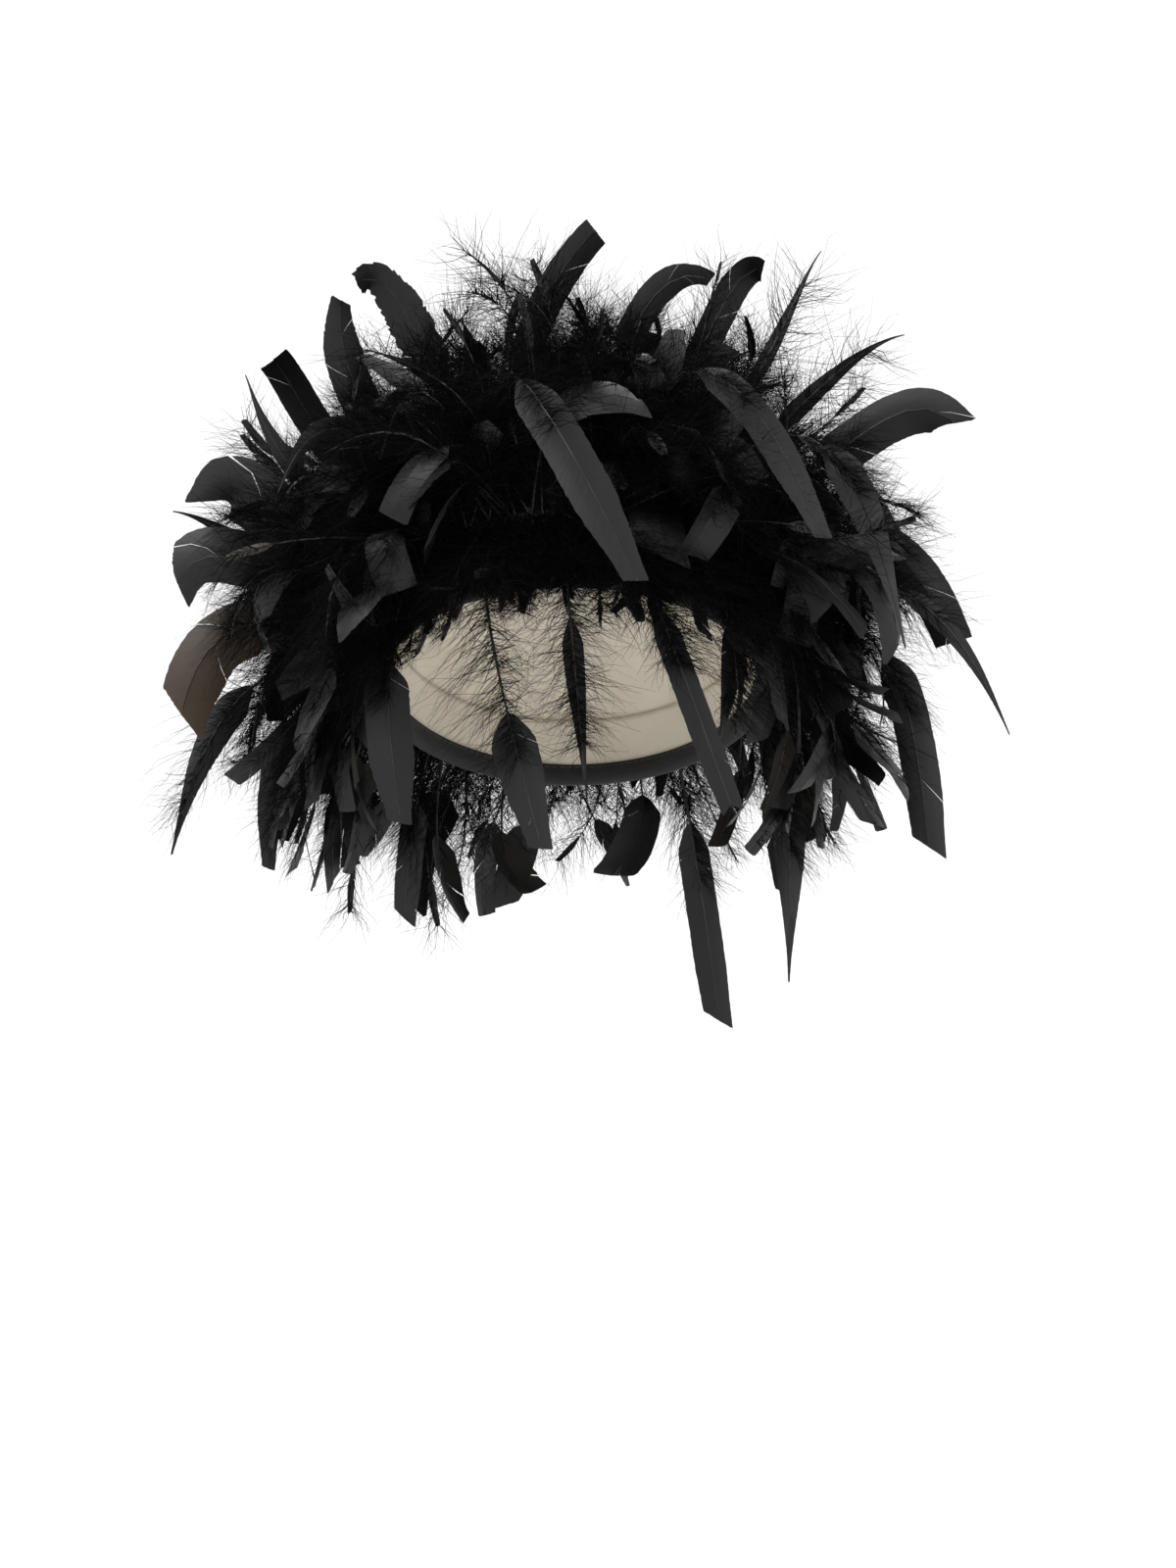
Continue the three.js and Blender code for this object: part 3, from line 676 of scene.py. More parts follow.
@dataclass(frozen=True)
class Plume:
    """A feather with a place of its own.

    It is tied at an azimuth of a turn. length is straight from its tie to its tip, in
    millimetres. lean turns the tip from straight up towards +X, as seen from the face, and
    forward turns it to the face. lift is how far it leaves along its first direction, and
    droop raises the middle of its bend. slot is the record's finish.
    """

    name: str
    turn: int
    azimuth: float
    length: float
    lean: float
    forward: float
    width: float
    cut: Cut = Cut.SQUARE
    hangs: bool = False
    lift: float | None = None
    droop: float | None = None
    look: Look = Look.FRONT
    dye: Dye = Dye.BLACK
    twist: float = 0
    blade_start: float = 0.40
    down: float = 0.56
    down_length: float = 24

    @property
    def slot(self) -> str:
        """The record's material slot for its colour: black dye, or the grey or brown of painted backlight.
        """
        return f"feather_{self.dye.name.lower()}"

    @property
    def body(self) -> str:
        """The body that it rides on."""
        return f"{self.name}_swing" if self.hangs else "root"

    def form(self) -> FeatherForm:
        """Its sizes for the feather maker.

        Returns:
            The sizes.
        """
        # The named feathers' tones run lighter than the loose ones': painted sheen.
        return FeatherForm(
            width=self.width * MM, cut=self.cut, dye=self.dye, blade_start=self.blade_start, rows=56,
            down_until=self.down, down_length=self.down_length * MM, down_count=620 if self.hangs else 320,
            hair_steps=5, shades=(0.45, 1.0))

    def course(self, spiral: BoaSpiral) -> Course:
        """The line of its quill.

        Args:
            spiral: the boa that it is tied to.

        Returns:
            Its course, as worn.
        """
        at = self.turn - 0.5 + self.azimuth / 360
        tie, first = spiral.tie(at, self.hangs)
        lean, forward = math.radians(self.lean), math.radians(self.forward)
        tip = self.length * MM * np.array([
            math.sin(lean) * math.cos(forward), -math.sin(forward), math.cos(lean) * math.cos(forward)])
        lift = (self.lift or (32 if self.hangs else 60)) * MM
        droop = ((0 if self.hangs else 12) if self.droop is None else self.droop) * MM
        bend = first * lift + (tip - first * lift) * 0.55 - DOWNWARDS * droop
        _, out, _, _ = spiral.axes(at)
        return Course.curved(
            np.array([tie, tie + first * lift, tie + bend, tie + tip]), np.array(self.look.value),
            spiral.crown.worn(out), self.twist)

    def swung(self, spiral: BoaSpiral, angle: float) -> np.ndarray:
        """Points of its quill when it has swung away from the cap.

        Args:
            spiral: the boa that it is tied to.
            angle: how far, in degrees.

        Returns:
            Points of the outer part, as worn.
        """
        course = self.course(spiral)
        tie = course.points[0]
        axis = unit(np.cross(course.along[0], course.away))
        turn = math.radians(angle)
        arm = course.points[12::2] - tie
        lengthwise = (arm @ axis)[:, None] * axis
        turned = arm * math.cos(turn) + np.cross(axis, arm) * math.sin(turn)
        return tie + turned + lengthwise * (1 - math.cos(turn))


HANGING = [
    Plume("temple_feather_left", 1, -50, 105, 180, 15, 17, Cut.TAPERED, True, down=0.5),
    Plume("fringe_feather_centre", 1, -22, 130, 170, 15, 18, Cut.TAPERED, True, down=0.72, blade_start=0.6),
    Plume("fringe_feather_point", 1, -2, 115, 175, 15, 8, Cut.POINTED, True, down=0.8, down_length=20),
    Plume("fringe_feather_curl", 1, 14, 125, 160, 10, 11, Cut.FORKED, True, down=0.5, blade_start=0.34),
    Plume("fringe_feather_short", 1, 42, 90, 180, 20, 9, Cut.POINTED, True, down=0.8),
    Plume("side_feather_right", 1, 105, 150, 175, 10, 14, Cut.POINTED, True, down=0.6),
    Plume("nape_feather_right", 1, 150, 155, 170, 0, 16, Cut.SLANTED, True),
    Plume("nape_feather_left", 1, -135, 90, -170, -5, 13, Cut.SLANTED, True),
]
STANDING = [
    Plume("crown_feather_bent_left", 4, -60, 95, -35, 0, 20, Cut.FRAYED, droop=30, twist=40),
    Plume("crown_feather_low_left", 3, -66, 90, -25, 10, 17, Cut.TAPERED, twist=30),
    Plume("crown_feather_upright", 5, -115, 120, 15, 0, 14, Cut.SQUARE),
    Plume("crown_feather_bent_right", 4, 70, 100, 30, 0, 14, Cut.SQUARE, droop=26, twist=-40),
    Plume("crown_feather_under_right", 4, 20, 80, 35, 10, 13, Cut.TAPERED),
    Plume("left_feather_square", 3, -92, 100, -40, 10, 17, Cut.SQUARE),
    Plume("left_feather_spike", 2, -72, 95, -40, 5, 9, Cut.POINTED),
    # Grey here is painted backlight, light shining through the thin blade.
    Plume("left_feather_grey", 2, -88, 80, -65, 5, 26, Cut.BACK_SLANTED, droop=24, dye=Dye.GREY),
    Plume("left_feather_thin", 2, -108, 110, -65, 5, 10, Cut.POINTED),
    Plume("left_feather_broad", 1, -70, 80, -85, 5, 24, Cut.SLANTED, droop=16),
    # Brown here is painted backlight, light shining through the thin blade.
    Plume("left_feather_brown", 1, -84, 85, -115, 5, 24, Cut.SLANTED, dye=Dye.BROWN),
    Plume("left_feather_fluffy", 1, -98, 120, -135, 5, 14, Cut.POINTED, down=0.86, down_length=23),
    Plume("left_feather_low", 1, -114, 100, -145, -10, 13, Cut.TAPERED),
    Plume("right_feather_spike_high", 3, 60, 115, 30, -5, 7, Cut.POINTED, down=0.85, down_length=28),
    Plume("right_feather_point_high", 3, 84, 115, 50, 5, 10, Cut.POINTED, down=0.85, down_length=28),
    Plume("right_feather_corner", 2, 70, 100, 65, 10, 21, Cut.SLANTED, droop=24),
    Plume("right_feather_wide", 2, 98, 100, 110, 15, 18, Cut.SQUARE, droop=28),
    Plume("right_feather_thin", 1, 78, 120, 120, -5, 8, Cut.POINTED),
    Plume("right_feather_low", 1, 94, 120, 145, 5, 16, Cut.SLANTED),
    # Grey here is painted backlight, light shining through the thin blade.
    Plume("right_feather_grey", 2, 44, 110, 130, 20, 16, Cut.POINTED, lift=75, dye=Dye.GREY),
    Plume("front_feather_left", 2, -42, 75, -95, 35, 10, Cut.POINTED),
    Plume("front_feather_sheen", 2, -14, 105, 140, 50, 20, Cut.TAPERED, lift=85, look=Look.FRONT_AND_UP),
    Plume("front_feather_right", 2, 16, 100, 115, 35, 15, Cut.TAPERED, lift=80, look=Look.FRONT_AND_UP),
    Plume("back_feather_high", 4, 170, 100, -15, -50, 18, Cut.SQUARE, look=Look.BACK_AND_DOWN),
    Plume("back_feather_left", 2, -150, 95, -75, -55, 20, Cut.SLANTED, look=Look.UNDER),
    Plume("back_feather_right", 2, 150, 95, 105, -60, 20, Cut.SQUARE, look=Look.UNDER),
]


# --- The plumage of each turn ----------------------------------------------------------------------


@dataclass(frozen=True)
class Envelope:
    """The room that the loose feathers of the boa keep to, as worn, in millimetres."""

    half_width: float = 148
    front: float = -108
    back: float = 146
    top: float = 166
    brow_height: float = 14
    face_left: float = -70
    face_right: float = 40
    face_widest: float = 74
    face_slope: float = 0.6
    face_depth: float = -30
    right_shift: float = 18
    azimuths: tuple[float, ...] = (0, 38, 55, 90, 120, 180)
    lowest: tuple[float, ...] = (10, 4, -48, -86, -100, -122)

    def holds(self, points: np.ndarray, room: float) -> bool:
        """Whether a feather's line stays inside, clear of the wearer's face.

        Args:
            points: points of the line, in metres.
            room: how far past the outside it may go, in millimetres.

        Returns:
            True if it does.
        """
        x, y, z = (points / MM).T
        azimuth = np.abs(np.degrees(np.arctan2(x, -y))) + np.where(x > 0, self.right_shift, 0)
        floor = np.interp(azimuth, self.azimuths, self.lowest)
        right = np.clip(self.face_right - self.face_slope * z, self.face_right, self.face_widest)
        on_face = (x > self.face_left) & (x < right) & (y < self.face_depth) & (z < self.brow_height - room)
        return bool(
            np.all(np.abs(x) < self.half_width + room) and np.all(y > self.front - room)
            and np.all(y < self.back + room) and np.all(z < self.top + room) and np.all(z > floor - room)
            and not np.any(on_face))


@dataclass(frozen=True)
class LooseKind:
    """A kind of loose feather: where and how closely it is tied, how it bends and its sizes.

    turns are the stretches of the boa that hold it. tilts lean it from straight out of the cap
    (0) to down along it (90). weights say how far its end sinks and stiffness how little it
    bends. room is how far it may pass the others' room, in millimetres. gives_way is for the
    ones so soft that a swinging feather brushes through them.
    """

    pitch: float
    tilts: tuple[float, float]
    lengths: tuple[float, float]
    widths: tuple[float, float]
    weights: tuple[float, float]
    stiffness: tuple[float, float]
    cuts: tuple[Cut, ...]
    blade_starts: tuple[float, float]
    down_until: tuple[float, float]
    down_lengths: tuple[float, float]
    down_count: int
    rows: int = 20
    room: float = 0
    gives_way: bool = False
    turns: tuple[tuple[float, float], ...] = ((0.0, 9.0),)

    def holds(self, at: float) -> bool:
        """Whether the kind is tied at a place of the boa."""
        return any(start <= at < end for start, end in self.turns)


RIBBONS = LooseKind(
    pitch=8.5 * MM, tilts=(-75, 90), lengths=(62 * MM, 100 * MM), widths=(13 * MM, 21 * MM),
    weights=(0.6, 1.8), stiffness=(-0.2, 0.7),
    cuts=(Cut.SQUARE, Cut.SLANTED, Cut.BACK_SLANTED, Cut.SQUARE, Cut.TAPERED),
    blade_starts=(0.44, 0.58), down_until=(0.55, 0.75), down_lengths=(18 * MM, 28 * MM), down_count=130)
FLUFFS = LooseKind(
    pitch=5.2 * MM, tilts=(-80, 92), lengths=(62 * MM, 106 * MM), widths=(4 * MM, 8 * MM),
    weights=(0.2, 1.2), stiffness=(0.3, 1.2), cuts=(Cut.POINTED, Cut.TAPERED),
    blade_starts=(0.7, 0.84), down_until=(0.94, 1.0),
    down_lengths=(17 * MM, 27 * MM), down_count=235, rows=10, room=10, gives_way=True)
SHORTS = LooseKind(
    pitch=8.5 * MM, tilts=(-85, 100), lengths=(34 * MM, 60 * MM), widths=(5 * MM, 10 * MM),
    weights=(0.2, 0.9), stiffness=(0.3, 1.2), cuts=(Cut.TAPERED, Cut.POINTED, Cut.FRAYED),
    blade_starts=(0.6, 0.75), down_until=(0.9, 1.0), down_lengths=(14 * MM, 24 * MM),
    down_count=150, rows=10)
FRINGE = LooseKind(
    pitch=2.4 * MM, tilts=(88, 114), lengths=(28 * MM, 54 * MM), widths=(4 * MM, 8 * MM),
    weights=(0.3, 1.0), stiffness=(0.5, 1.2), cuts=(Cut.POINTED, Cut.TAPERED), blade_starts=(0.62, 0.76),
    down_until=(0.92, 1.0), down_lengths=(10 * MM, 18 * MM), down_count=215, rows=10, room=12,
    gives_way=True, turns=((0.32, 0.7),))
LOCKS = LooseKind(
    pitch=4.0 * MM, tilts=(70, 100), lengths=(70 * MM, 122 * MM), widths=(7 * MM, 16 * MM),
    weights=(0.4, 1.4), stiffness=(0.4, 1.2), cuts=(Cut.SLANTED, Cut.SQUARE, Cut.TAPERED, Cut.BACK_SLANTED),
    blade_starts=(0.56, 0.7), down_until=(0.76, 0.95), down_lengths=(16 * MM, 24 * MM), down_count=140,
    turns=((0.16, 0.37), (0.6, 0.86)))


@dataclass
class Plumage:
    """The loose feathers of the boa, which spread from its cord all along it.

    tries is how often a feather is drawn anew until it stays in its room, and shorter how much
    it loses each time. swings are the angles of the hanging feathers that it keeps swing_room
    clear of. bends places a line's four points, as shares of its length along its first and
    second ways. grey_until and brown_until part the colours on a draw from 0 to 1; the grey and
    brown feathers are painted backlight.
    """

    spiral: BoaSpiral
    kinds: tuple[LooseKind, ...] = (RIBBONS, FLUFFS, SHORTS, FRINGE, LOCKS)
    envelope: Envelope = field(default_factory=Envelope)
    arcs_per_turn: int = 4
    tries: int = 16
    swings: tuple[float, ...] = (-3, 6, 14, 22, 30)
    swing_room: float = 8 * MM
    first_seed: int = 500
    shorter: float = 0.03
    near_cord: int = 6
    # The grey and brown draws are painted backlight on a few loose feathers.
    grey_until: float = 0.05
    brown_until: float = 0.07
    cambers: tuple[float, float] = (12 * MM, 34 * MM)
    sideways: float = 0.4
    wander: float = 0.5
    upright_weight: float = 0.3
    bends: tuple[tuple[float, float], ...] = ((0, 0), (0.46, 0), (0.64, 0.06), (0.52, 0.46))
    twists: tuple[float, float] = (-70, 70)

    def build(self, finishes: "Finishes") -> list[bpy.types.Object]:
        """Make the plumage of every turn.

        Args:
            finishes: the headdress's finishes.

        Returns:
            Its pieces, a few arcs for each turn.
        """
        pieces = []
        swept = np.concatenate([
            plume.swung(self.spiral, angle) for plume in HANGING for angle in self.swings])
        for arc in range(math.ceil(self.spiral.turns * self.arcs_per_turn)):
            turn, part = divmod(arc, self.arcs_per_turn)
            start, end = arc / self.arcs_per_turn, (arc + 1) / self.arcs_per_turn
            parts = MeshParts()
            maker = FeatherMaker(np.random.default_rng(self.first_seed + arc))
            made = 0
            for kind in self.kinds:
                places = self.spiral.spacing(kind.pitch)
                here = places[(places >= start) & (places < end)]
                for at in here:
                    if kind.holds(at):
                        made += self._feather(parts, maker, kind, float(at), swept)
            piece = parts.cover(f"turn_{turn + 1}_plumage_{part + 1}", f"turn_{turn + 1}_down",
                                finishes.feathers())
            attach(piece, "root")
            LOG.info("%s: %d feathers, %d faces", piece.name, made, len(piece.data.polygons))
            pieces.append(piece)
        return pieces

    def _feather(self, parts: MeshParts, maker: FeatherMaker, kind: LooseKind, at: float,
                 swept: np.ndarray) -> bool:
        """Add one loose feather, tried at new angles until it stays in its room.

        Args:
            parts: the mesh that it joins.
            maker: the feather maker, with its source of differences.
            kind: the kind of feather.
            at: where it is tied, in turns from the nape.
            swept: points that the hanging feathers pass through.

        Returns:
            False if there is no room for it.
        """
        rng = maker.rng
        for attempt in range(self.tries):
            course = self._course(rng, kind, at, 1 - self.shorter * attempt)
            outer = course.points[self.near_cord:]
            if not self.envelope.holds(outer, kind.room) or self.spiral.crown.holds(outer):
                continue
            if not kind.gives_way:
                gaps = np.linalg.norm(outer[:, None] - swept[None], axis=-1)
                if gaps.min() < self.swing_room:
                    continue
            dye = self._dye(rng.random())
            maker.add(parts, course, FeatherForm(
                width=between(rng, *kind.widths), cut=kind.cuts[rng.integers(len(kind.cuts))], dye=dye,
                rows=kind.rows, down_count=kind.down_count, blade_start=between(rng, *kind.blade_starts),
                down_until=between(rng, *kind.down_until), down_length=between(rng, *kind.down_lengths),
                camber=between(rng, *self.cambers), quill_sides=3))
            return True
        return False

    def _dye(self, drawn: float) -> Dye:
        """The colour for a draw from 0 to 1: black dye, or the painted backlight of grey or brown.

        Args:
            drawn: the draw.

        Returns:
            The colour.
        """
        if drawn < self.grey_until:
            return Dye.GREY
        return Dye.BROWN if drawn < self.brown_until else Dye.BLACK

    def _course(self, rng: np.random.Generator, kind: LooseKind, at: float, shorter: float) -> Course:
        """A loose feather's line: out of the cord, then bent by its own weight and curl.

        Args:
            rng: the source of differences.
            kind: the kind of feather.
            at: where it is tied, in turns from the nape.
            shorter: the share of its drawn length that it keeps.

        Returns:
            Its course, as worn.
        """
        seat, out, along, down = (self.spiral.crown.worn(axis) for axis in self.spiral.axes(at))
        tilt = math.radians(between(rng, *kind.tilts))
        start = seat + out * (self.spiral.cord_gap + 2 * self.spiral.cord_radius)
        first = unit(out * math.cos(tilt) + down * math.sin(tilt) + along * rng.normal(0, self.sideways))
        level = 1 - abs(float(out[2]))
        weight = between(rng, *kind.weights) * (self.upright_weight + level)
        springing = first * between(rng, *kind.stiffness)
        second = unit(springing + DOWNWARDS * weight + rng.normal(0, self.wander, 3))
        length = between(rng, *kind.lengths) * shorter
        controls = np.array([
            start + first * length * outwards + second * length * onwards
            for outwards, onwards in self.bends])
        look = out + rng.normal(0, self.wander, 3)
        return Course.curved(controls, look, out, twist=between(rng, *self.twists), steps=32)


# --- Finishes --------------------------------------------------------------------------------------

Colour = tuple[float, float, float]
Shader = bpy.types.ShaderNodeBsdfPrincipled


def new_material(name: str) -> tuple[bpy.types.Material, bpy.types.NodeTree, Shader]:
    """A material with its tree and its shader.

    Args:
        name: the material's name.

    Returns:
        The material, its tree and its shader.
    """
    material = bpy.data.materials.new(name)
    material.use_nodes = True
    tree = material.node_tree
    return material, tree, tree.nodes["Principled BSDF"]


def ramp(tree: bpy.types.NodeTree, source: bpy.types.NodeSocket,
         stops: list[tuple[float, Colour]]) -> bpy.types.NodeSocket:
    """Colour by a value.

    Args:
        tree: the material's tree.
        source: the value.
        stops: places from 0 to 1, each with its colour.

    Returns:
        The colour.
    """
    node = tree.nodes.new("ShaderNodeValToRGB")
    elements = node.color_ramp.elements
    while len(elements) < len(stops):
        elements.new(0.5)
    for element, (place, colour) in zip(elements, stops):
        element.position = place
        element.color = (*colour, 1)
    tree.links.new(source, node.inputs["Fac"])
    return node.outputs["Color"]


def bump(tree: bpy.types.NodeTree, shader: Shader, height: bpy.types.NodeSocket, distance: float,
         strength: float = 1.0) -> None:
    """Raise a shader's surface by a height, in metres at its highest.

    Args:
        tree: the material's tree.
        shader: the shader.
        height: the height, from 0 to 1.
        distance: metres at a height of 1.
        strength: how strongly it shows.
    """
    node = tree.nodes.new("ShaderNodeBump")
    node.inputs["Distance"].default_value = distance
    node.inputs["Strength"].default_value = strength
    tree.links.new(height, node.inputs["Height"])
    tree.links.new(node.outputs["Normal"], shader.inputs["Normal"])


def arithmetic(tree: bpy.types.NodeTree, operation: str, *values: object) -> bpy.types.NodeSocket:
    """One step of arithmetic on sockets and numbers.

    Args:
        tree: the material's tree.
        operation: what it does.
        values: the sockets and numbers, in order.

    Returns:
        The result.
    """
    node = tree.nodes.new("ShaderNodeMath")
    node.operation = operation
    for socket, value in zip(node.inputs, values):
        if isinstance(value, bpy.types.NodeSocket):
            tree.links.new(value, socket)
        else:
            socket.default_value = value
    return node.outputs["Value"]


def noise(tree: bpy.types.NodeTree, vector: bpy.types.NodeSocket, scale: float,
          detail: float) -> bpy.types.NodeSocket:
    """Soft noise over a vector.

    Args:
        tree: the material's tree.
        vector: where it is looked up.
        scale: how fine it is.
        detail: how many finer layers it has.

    Returns:
        The noise, from 0 to 1.
    """
    node = tree.nodes.new("ShaderNodeTexNoise")
    node.inputs["Scale"].default_value = scale
    node.inputs["Detail"].default_value = detail
    tree.links.new(vector, node.inputs["Vector"])
    return node.outputs["Fac"]


def grain_axes(tree: bpy.types.NodeTree) -> tuple[bpy.types.NodeSocket, bpy.types.NodeSocket]:
    """The two numbers of the grain: across the barbs or threads, and along them.

    Args:
        tree: the material's tree.

    Returns:
        The number across and the number along.
    """
    source = tree.nodes.new("ShaderNodeUVMap")
    source.uv_map = "grain"
    split = tree.nodes.new("ShaderNodeSeparateXYZ")
    tree.links.new(source.outputs["UV"], split.inputs["Vector"])
    return split.outputs["X"], split.outputs["Y"]


def attribute(tree: bpy.types.NodeTree, name: str) -> bpy.types.NodeSocket:
    """A number kept on the mesh.

    Args:
        tree: the material's tree.
        name: its name on the mesh.

    Returns:
        The number.
    """
    node = tree.nodes.new("ShaderNodeAttribute")
    node.attribute_name = name
    return node.outputs["Fac"]


def place(tree: bpy.types.NodeTree) -> bpy.types.NodeSocket:
    """The point's own place on the object."""
    return tree.nodes.new("ShaderNodeTexCoord").outputs["Object"]


@dataclass(frozen=True)
class BladeFinish:
    """A feather's blade: fine barbs side by side, dyed, with a soft sheen.

    streak_stretch is how long the streaks of tone run along the barbs, and streak_shift how far
    apart two feathers' streaks are drawn. The colour's depth is that of the feather, of the streaks
    and of the patches, each by its share. The feather's share is a random tone, lifted on the named
    feathers as painted sheen; the grey and brown blades' colours are painted backlight.
    """

    name: str
    dark: Colour
    light: Colour
    roughness: float = 0.42
    roughness_spread: float = 0.22
    specular: float = 0.26
    sheen: float = 0.02
    sheen_roughness: float = 0.4
    barbs_per_row: float = 4.0
    streak_stretch: float = 0.12
    streak_shift: float = 40
    patch_scale: float = 60
    feather_share: float = 0.45
    streak_share: float = 0.4
    patch_share: float = 0.3
    barb_height: float = 0.12 * MM
    barb_strength: float = 0.7

    def build(self) -> bpy.types.Material:
        """Make the material.

        Returns:
            The material.
        """
        material, tree, shader = new_material(self.name)
        across, along = grain_axes(tree)
        shade = attribute(tree, "shade")
        joined = tree.nodes.new("ShaderNodeCombineXYZ")
        for socket, value, scale in (("X", across, self.barbs_per_row), ("Y", along, self.streak_stretch),
                                     ("Z", shade, self.streak_shift)):
            tree.links.new(arithmetic(tree, "MULTIPLY", value, scale), joined.inputs[socket])
        streaks = noise(tree, joined.outputs["Vector"], 1.0, 3)
        patches = noise(tree, place(tree), self.patch_scale, 2)
        depth = arithmetic(tree, "MULTIPLY", patches, self.patch_share)
        depth = arithmetic(tree, "MULTIPLY_ADD", streaks, self.streak_share, depth)
        # The feather's shade is a random tone, and on the named feathers painted sheen.
        depth = arithmetic(tree, "MULTIPLY_ADD", shade, self.feather_share, depth)
        colour = ramp(tree, depth, [(0.3, self.dark), (0.85, self.light)])
        tree.links.new(colour, shader.inputs["Base Color"])
        smoothest = self.roughness - self.roughness_spread / 2
        rough = arithmetic(tree, "MULTIPLY_ADD", streaks, self.roughness_spread, smoothest)
        tree.links.new(rough, shader.inputs["Roughness"])
        shader.inputs["Specular IOR Level"].default_value = self.specular
        shader.inputs["Sheen Weight"].default_value = self.sheen
        shader.inputs["Sheen Roughness"].default_value = self.sheen_roughness
        bump(tree, shader, streaks, self.barb_height, self.barb_strength)
        return material


@dataclass(frozen=True)
class DownFinish:
    """Matt, fine down."""

    name: str = "feather_down"
    dark: Colour = (0.0012, 0.0012, 0.0013)
    light: Colour = (0.0048, 0.0047, 0.0046)
    roughness: float = 0.85
    specular: float = 0.04
    patch_scale: float = 45

    def build(self) -> bpy.types.Material:
        """Make the material.

        Returns:
            The material.
        """
        material, tree, shader = new_material(self.name)
        patches = noise(tree, place(tree), self.patch_scale, 3)
        # The shade lifts the named feathers' down as well: painted sheen.
        mixed = arithmetic(tree, "MULTIPLY_ADD", attribute(tree, "shade"), 0.5, arithmetic(
            tree, "MULTIPLY", patches, 0.5))
        colour = ramp(tree, mixed, [(0.2, self.dark), (0.8, self.light)])
        tree.links.new(colour, shader.inputs["Base Color"])
        shader.inputs["Roughness"].default_value = self.roughness
        shader.inputs["Specular IOR Level"].default_value = self.specular
        return material


@dataclass(frozen=True)
class QuillFinish:
    """A dyed quill, smoother than its barbs."""

    name: str = "feather_quill"
    dark: Colour = (0.004, 0.004, 0.0045)
    light: Colour = (0.022, 0.0215, 0.021)
    roughness: float = 0.28
    specular: float = 0.4
    patch_scale: float = 120

    def build(self) -> bpy.types.Material:
        """Make the material.

        Returns:
            The material.
        """
        material, tree, shader = new_material(self.name)
        patches = noise(tree, place(tree), self.patch_scale, 2)
        colour = ramp(tree, patches, [(0.3, self.dark), (0.75, self.light)])
        tree.links.new(colour, shader.inputs["Base Color"])
        shader.inputs["Roughness"].default_value = self.roughness
        shader.inputs["Specular IOR Level"].default_value = self.specular
        return material


@dataclass(frozen=True)
class WovenFinish:
    """Cloth with crossed threads, told by the grain in millimetres."""

    name: str
    dark: Colour
    light: Colour
    across_pitch: float
    along_pitch: float
    roughness: float
    depth: float
    sheen: float = 0.0
    roughness_spread: float = 0.2
    patch_scale: float = 35

    def build(self) -> bpy.types.Material:
        """Make the material.

        Returns:
            The material.
        """
        material, tree, shader = new_material(self.name)
        across, along = grain_axes(tree)
        warp, weft = (
            arithmetic(tree, "SINE", arithmetic(tree, "MULTIPLY", way, 2 * math.pi / pitch))
            for way, pitch in ((across, self.across_pitch), (along, self.along_pitch)))
        weave = arithmetic(tree, "MULTIPLY_ADD", arithmetic(tree, "ADD", warp, weft), 0.22, 0.5)
        patches = noise(tree, place(tree), self.patch_scale, 4)
        mixed = arithmetic(tree, "MULTIPLY_ADD", weave, 0.5, arithmetic(tree, "MULTIPLY", patches, 0.5))
        colour = ramp(tree, mixed, [(0.2, self.dark), (0.8, self.light)])
        tree.links.new(colour, shader.inputs["Base Color"])
        smoothest = self.roughness - self.roughness_spread / 2
        rough = arithmetic(tree, "MULTIPLY_ADD", patches, self.roughness_spread, smoothest)
        tree.links.new(rough, shader.inputs["Roughness"])
        shader.inputs["Sheen Weight"].default_value = self.sheen
        bump(tree, shader, weave, self.depth)
        return material


@dataclass(frozen=True)
class SteelFinish:
    """Drawn spring wire, with fine lines along it."""

    name: str = "wire_steel"
    dark: Colour = (0.42, 0.42, 0.43)
    light: Colour = (0.62, 0.62, 0.63)
    smoothest: float = 0.22
    roughness_spread: float = 0.2
    patch_scale: float = 400

    def build(self) -> bpy.types.Material:
        """Make the material.

        Returns:
            The material.
        """
        material, tree, shader = new_material(self.name)
        patches = noise(tree, place(tree), self.patch_scale, 3)
        colour = ramp(tree, patches, [(0.3, self.dark), (0.7, self.light)])
        tree.links.new(colour, shader.inputs["Base Color"])
        rough = arithmetic(tree, "MULTIPLY_ADD", patches, self.roughness_spread, self.smoothest)
        tree.links.new(rough, shader.inputs["Roughness"])
        shader.inputs["Metallic"].default_value = 1.0
        return material


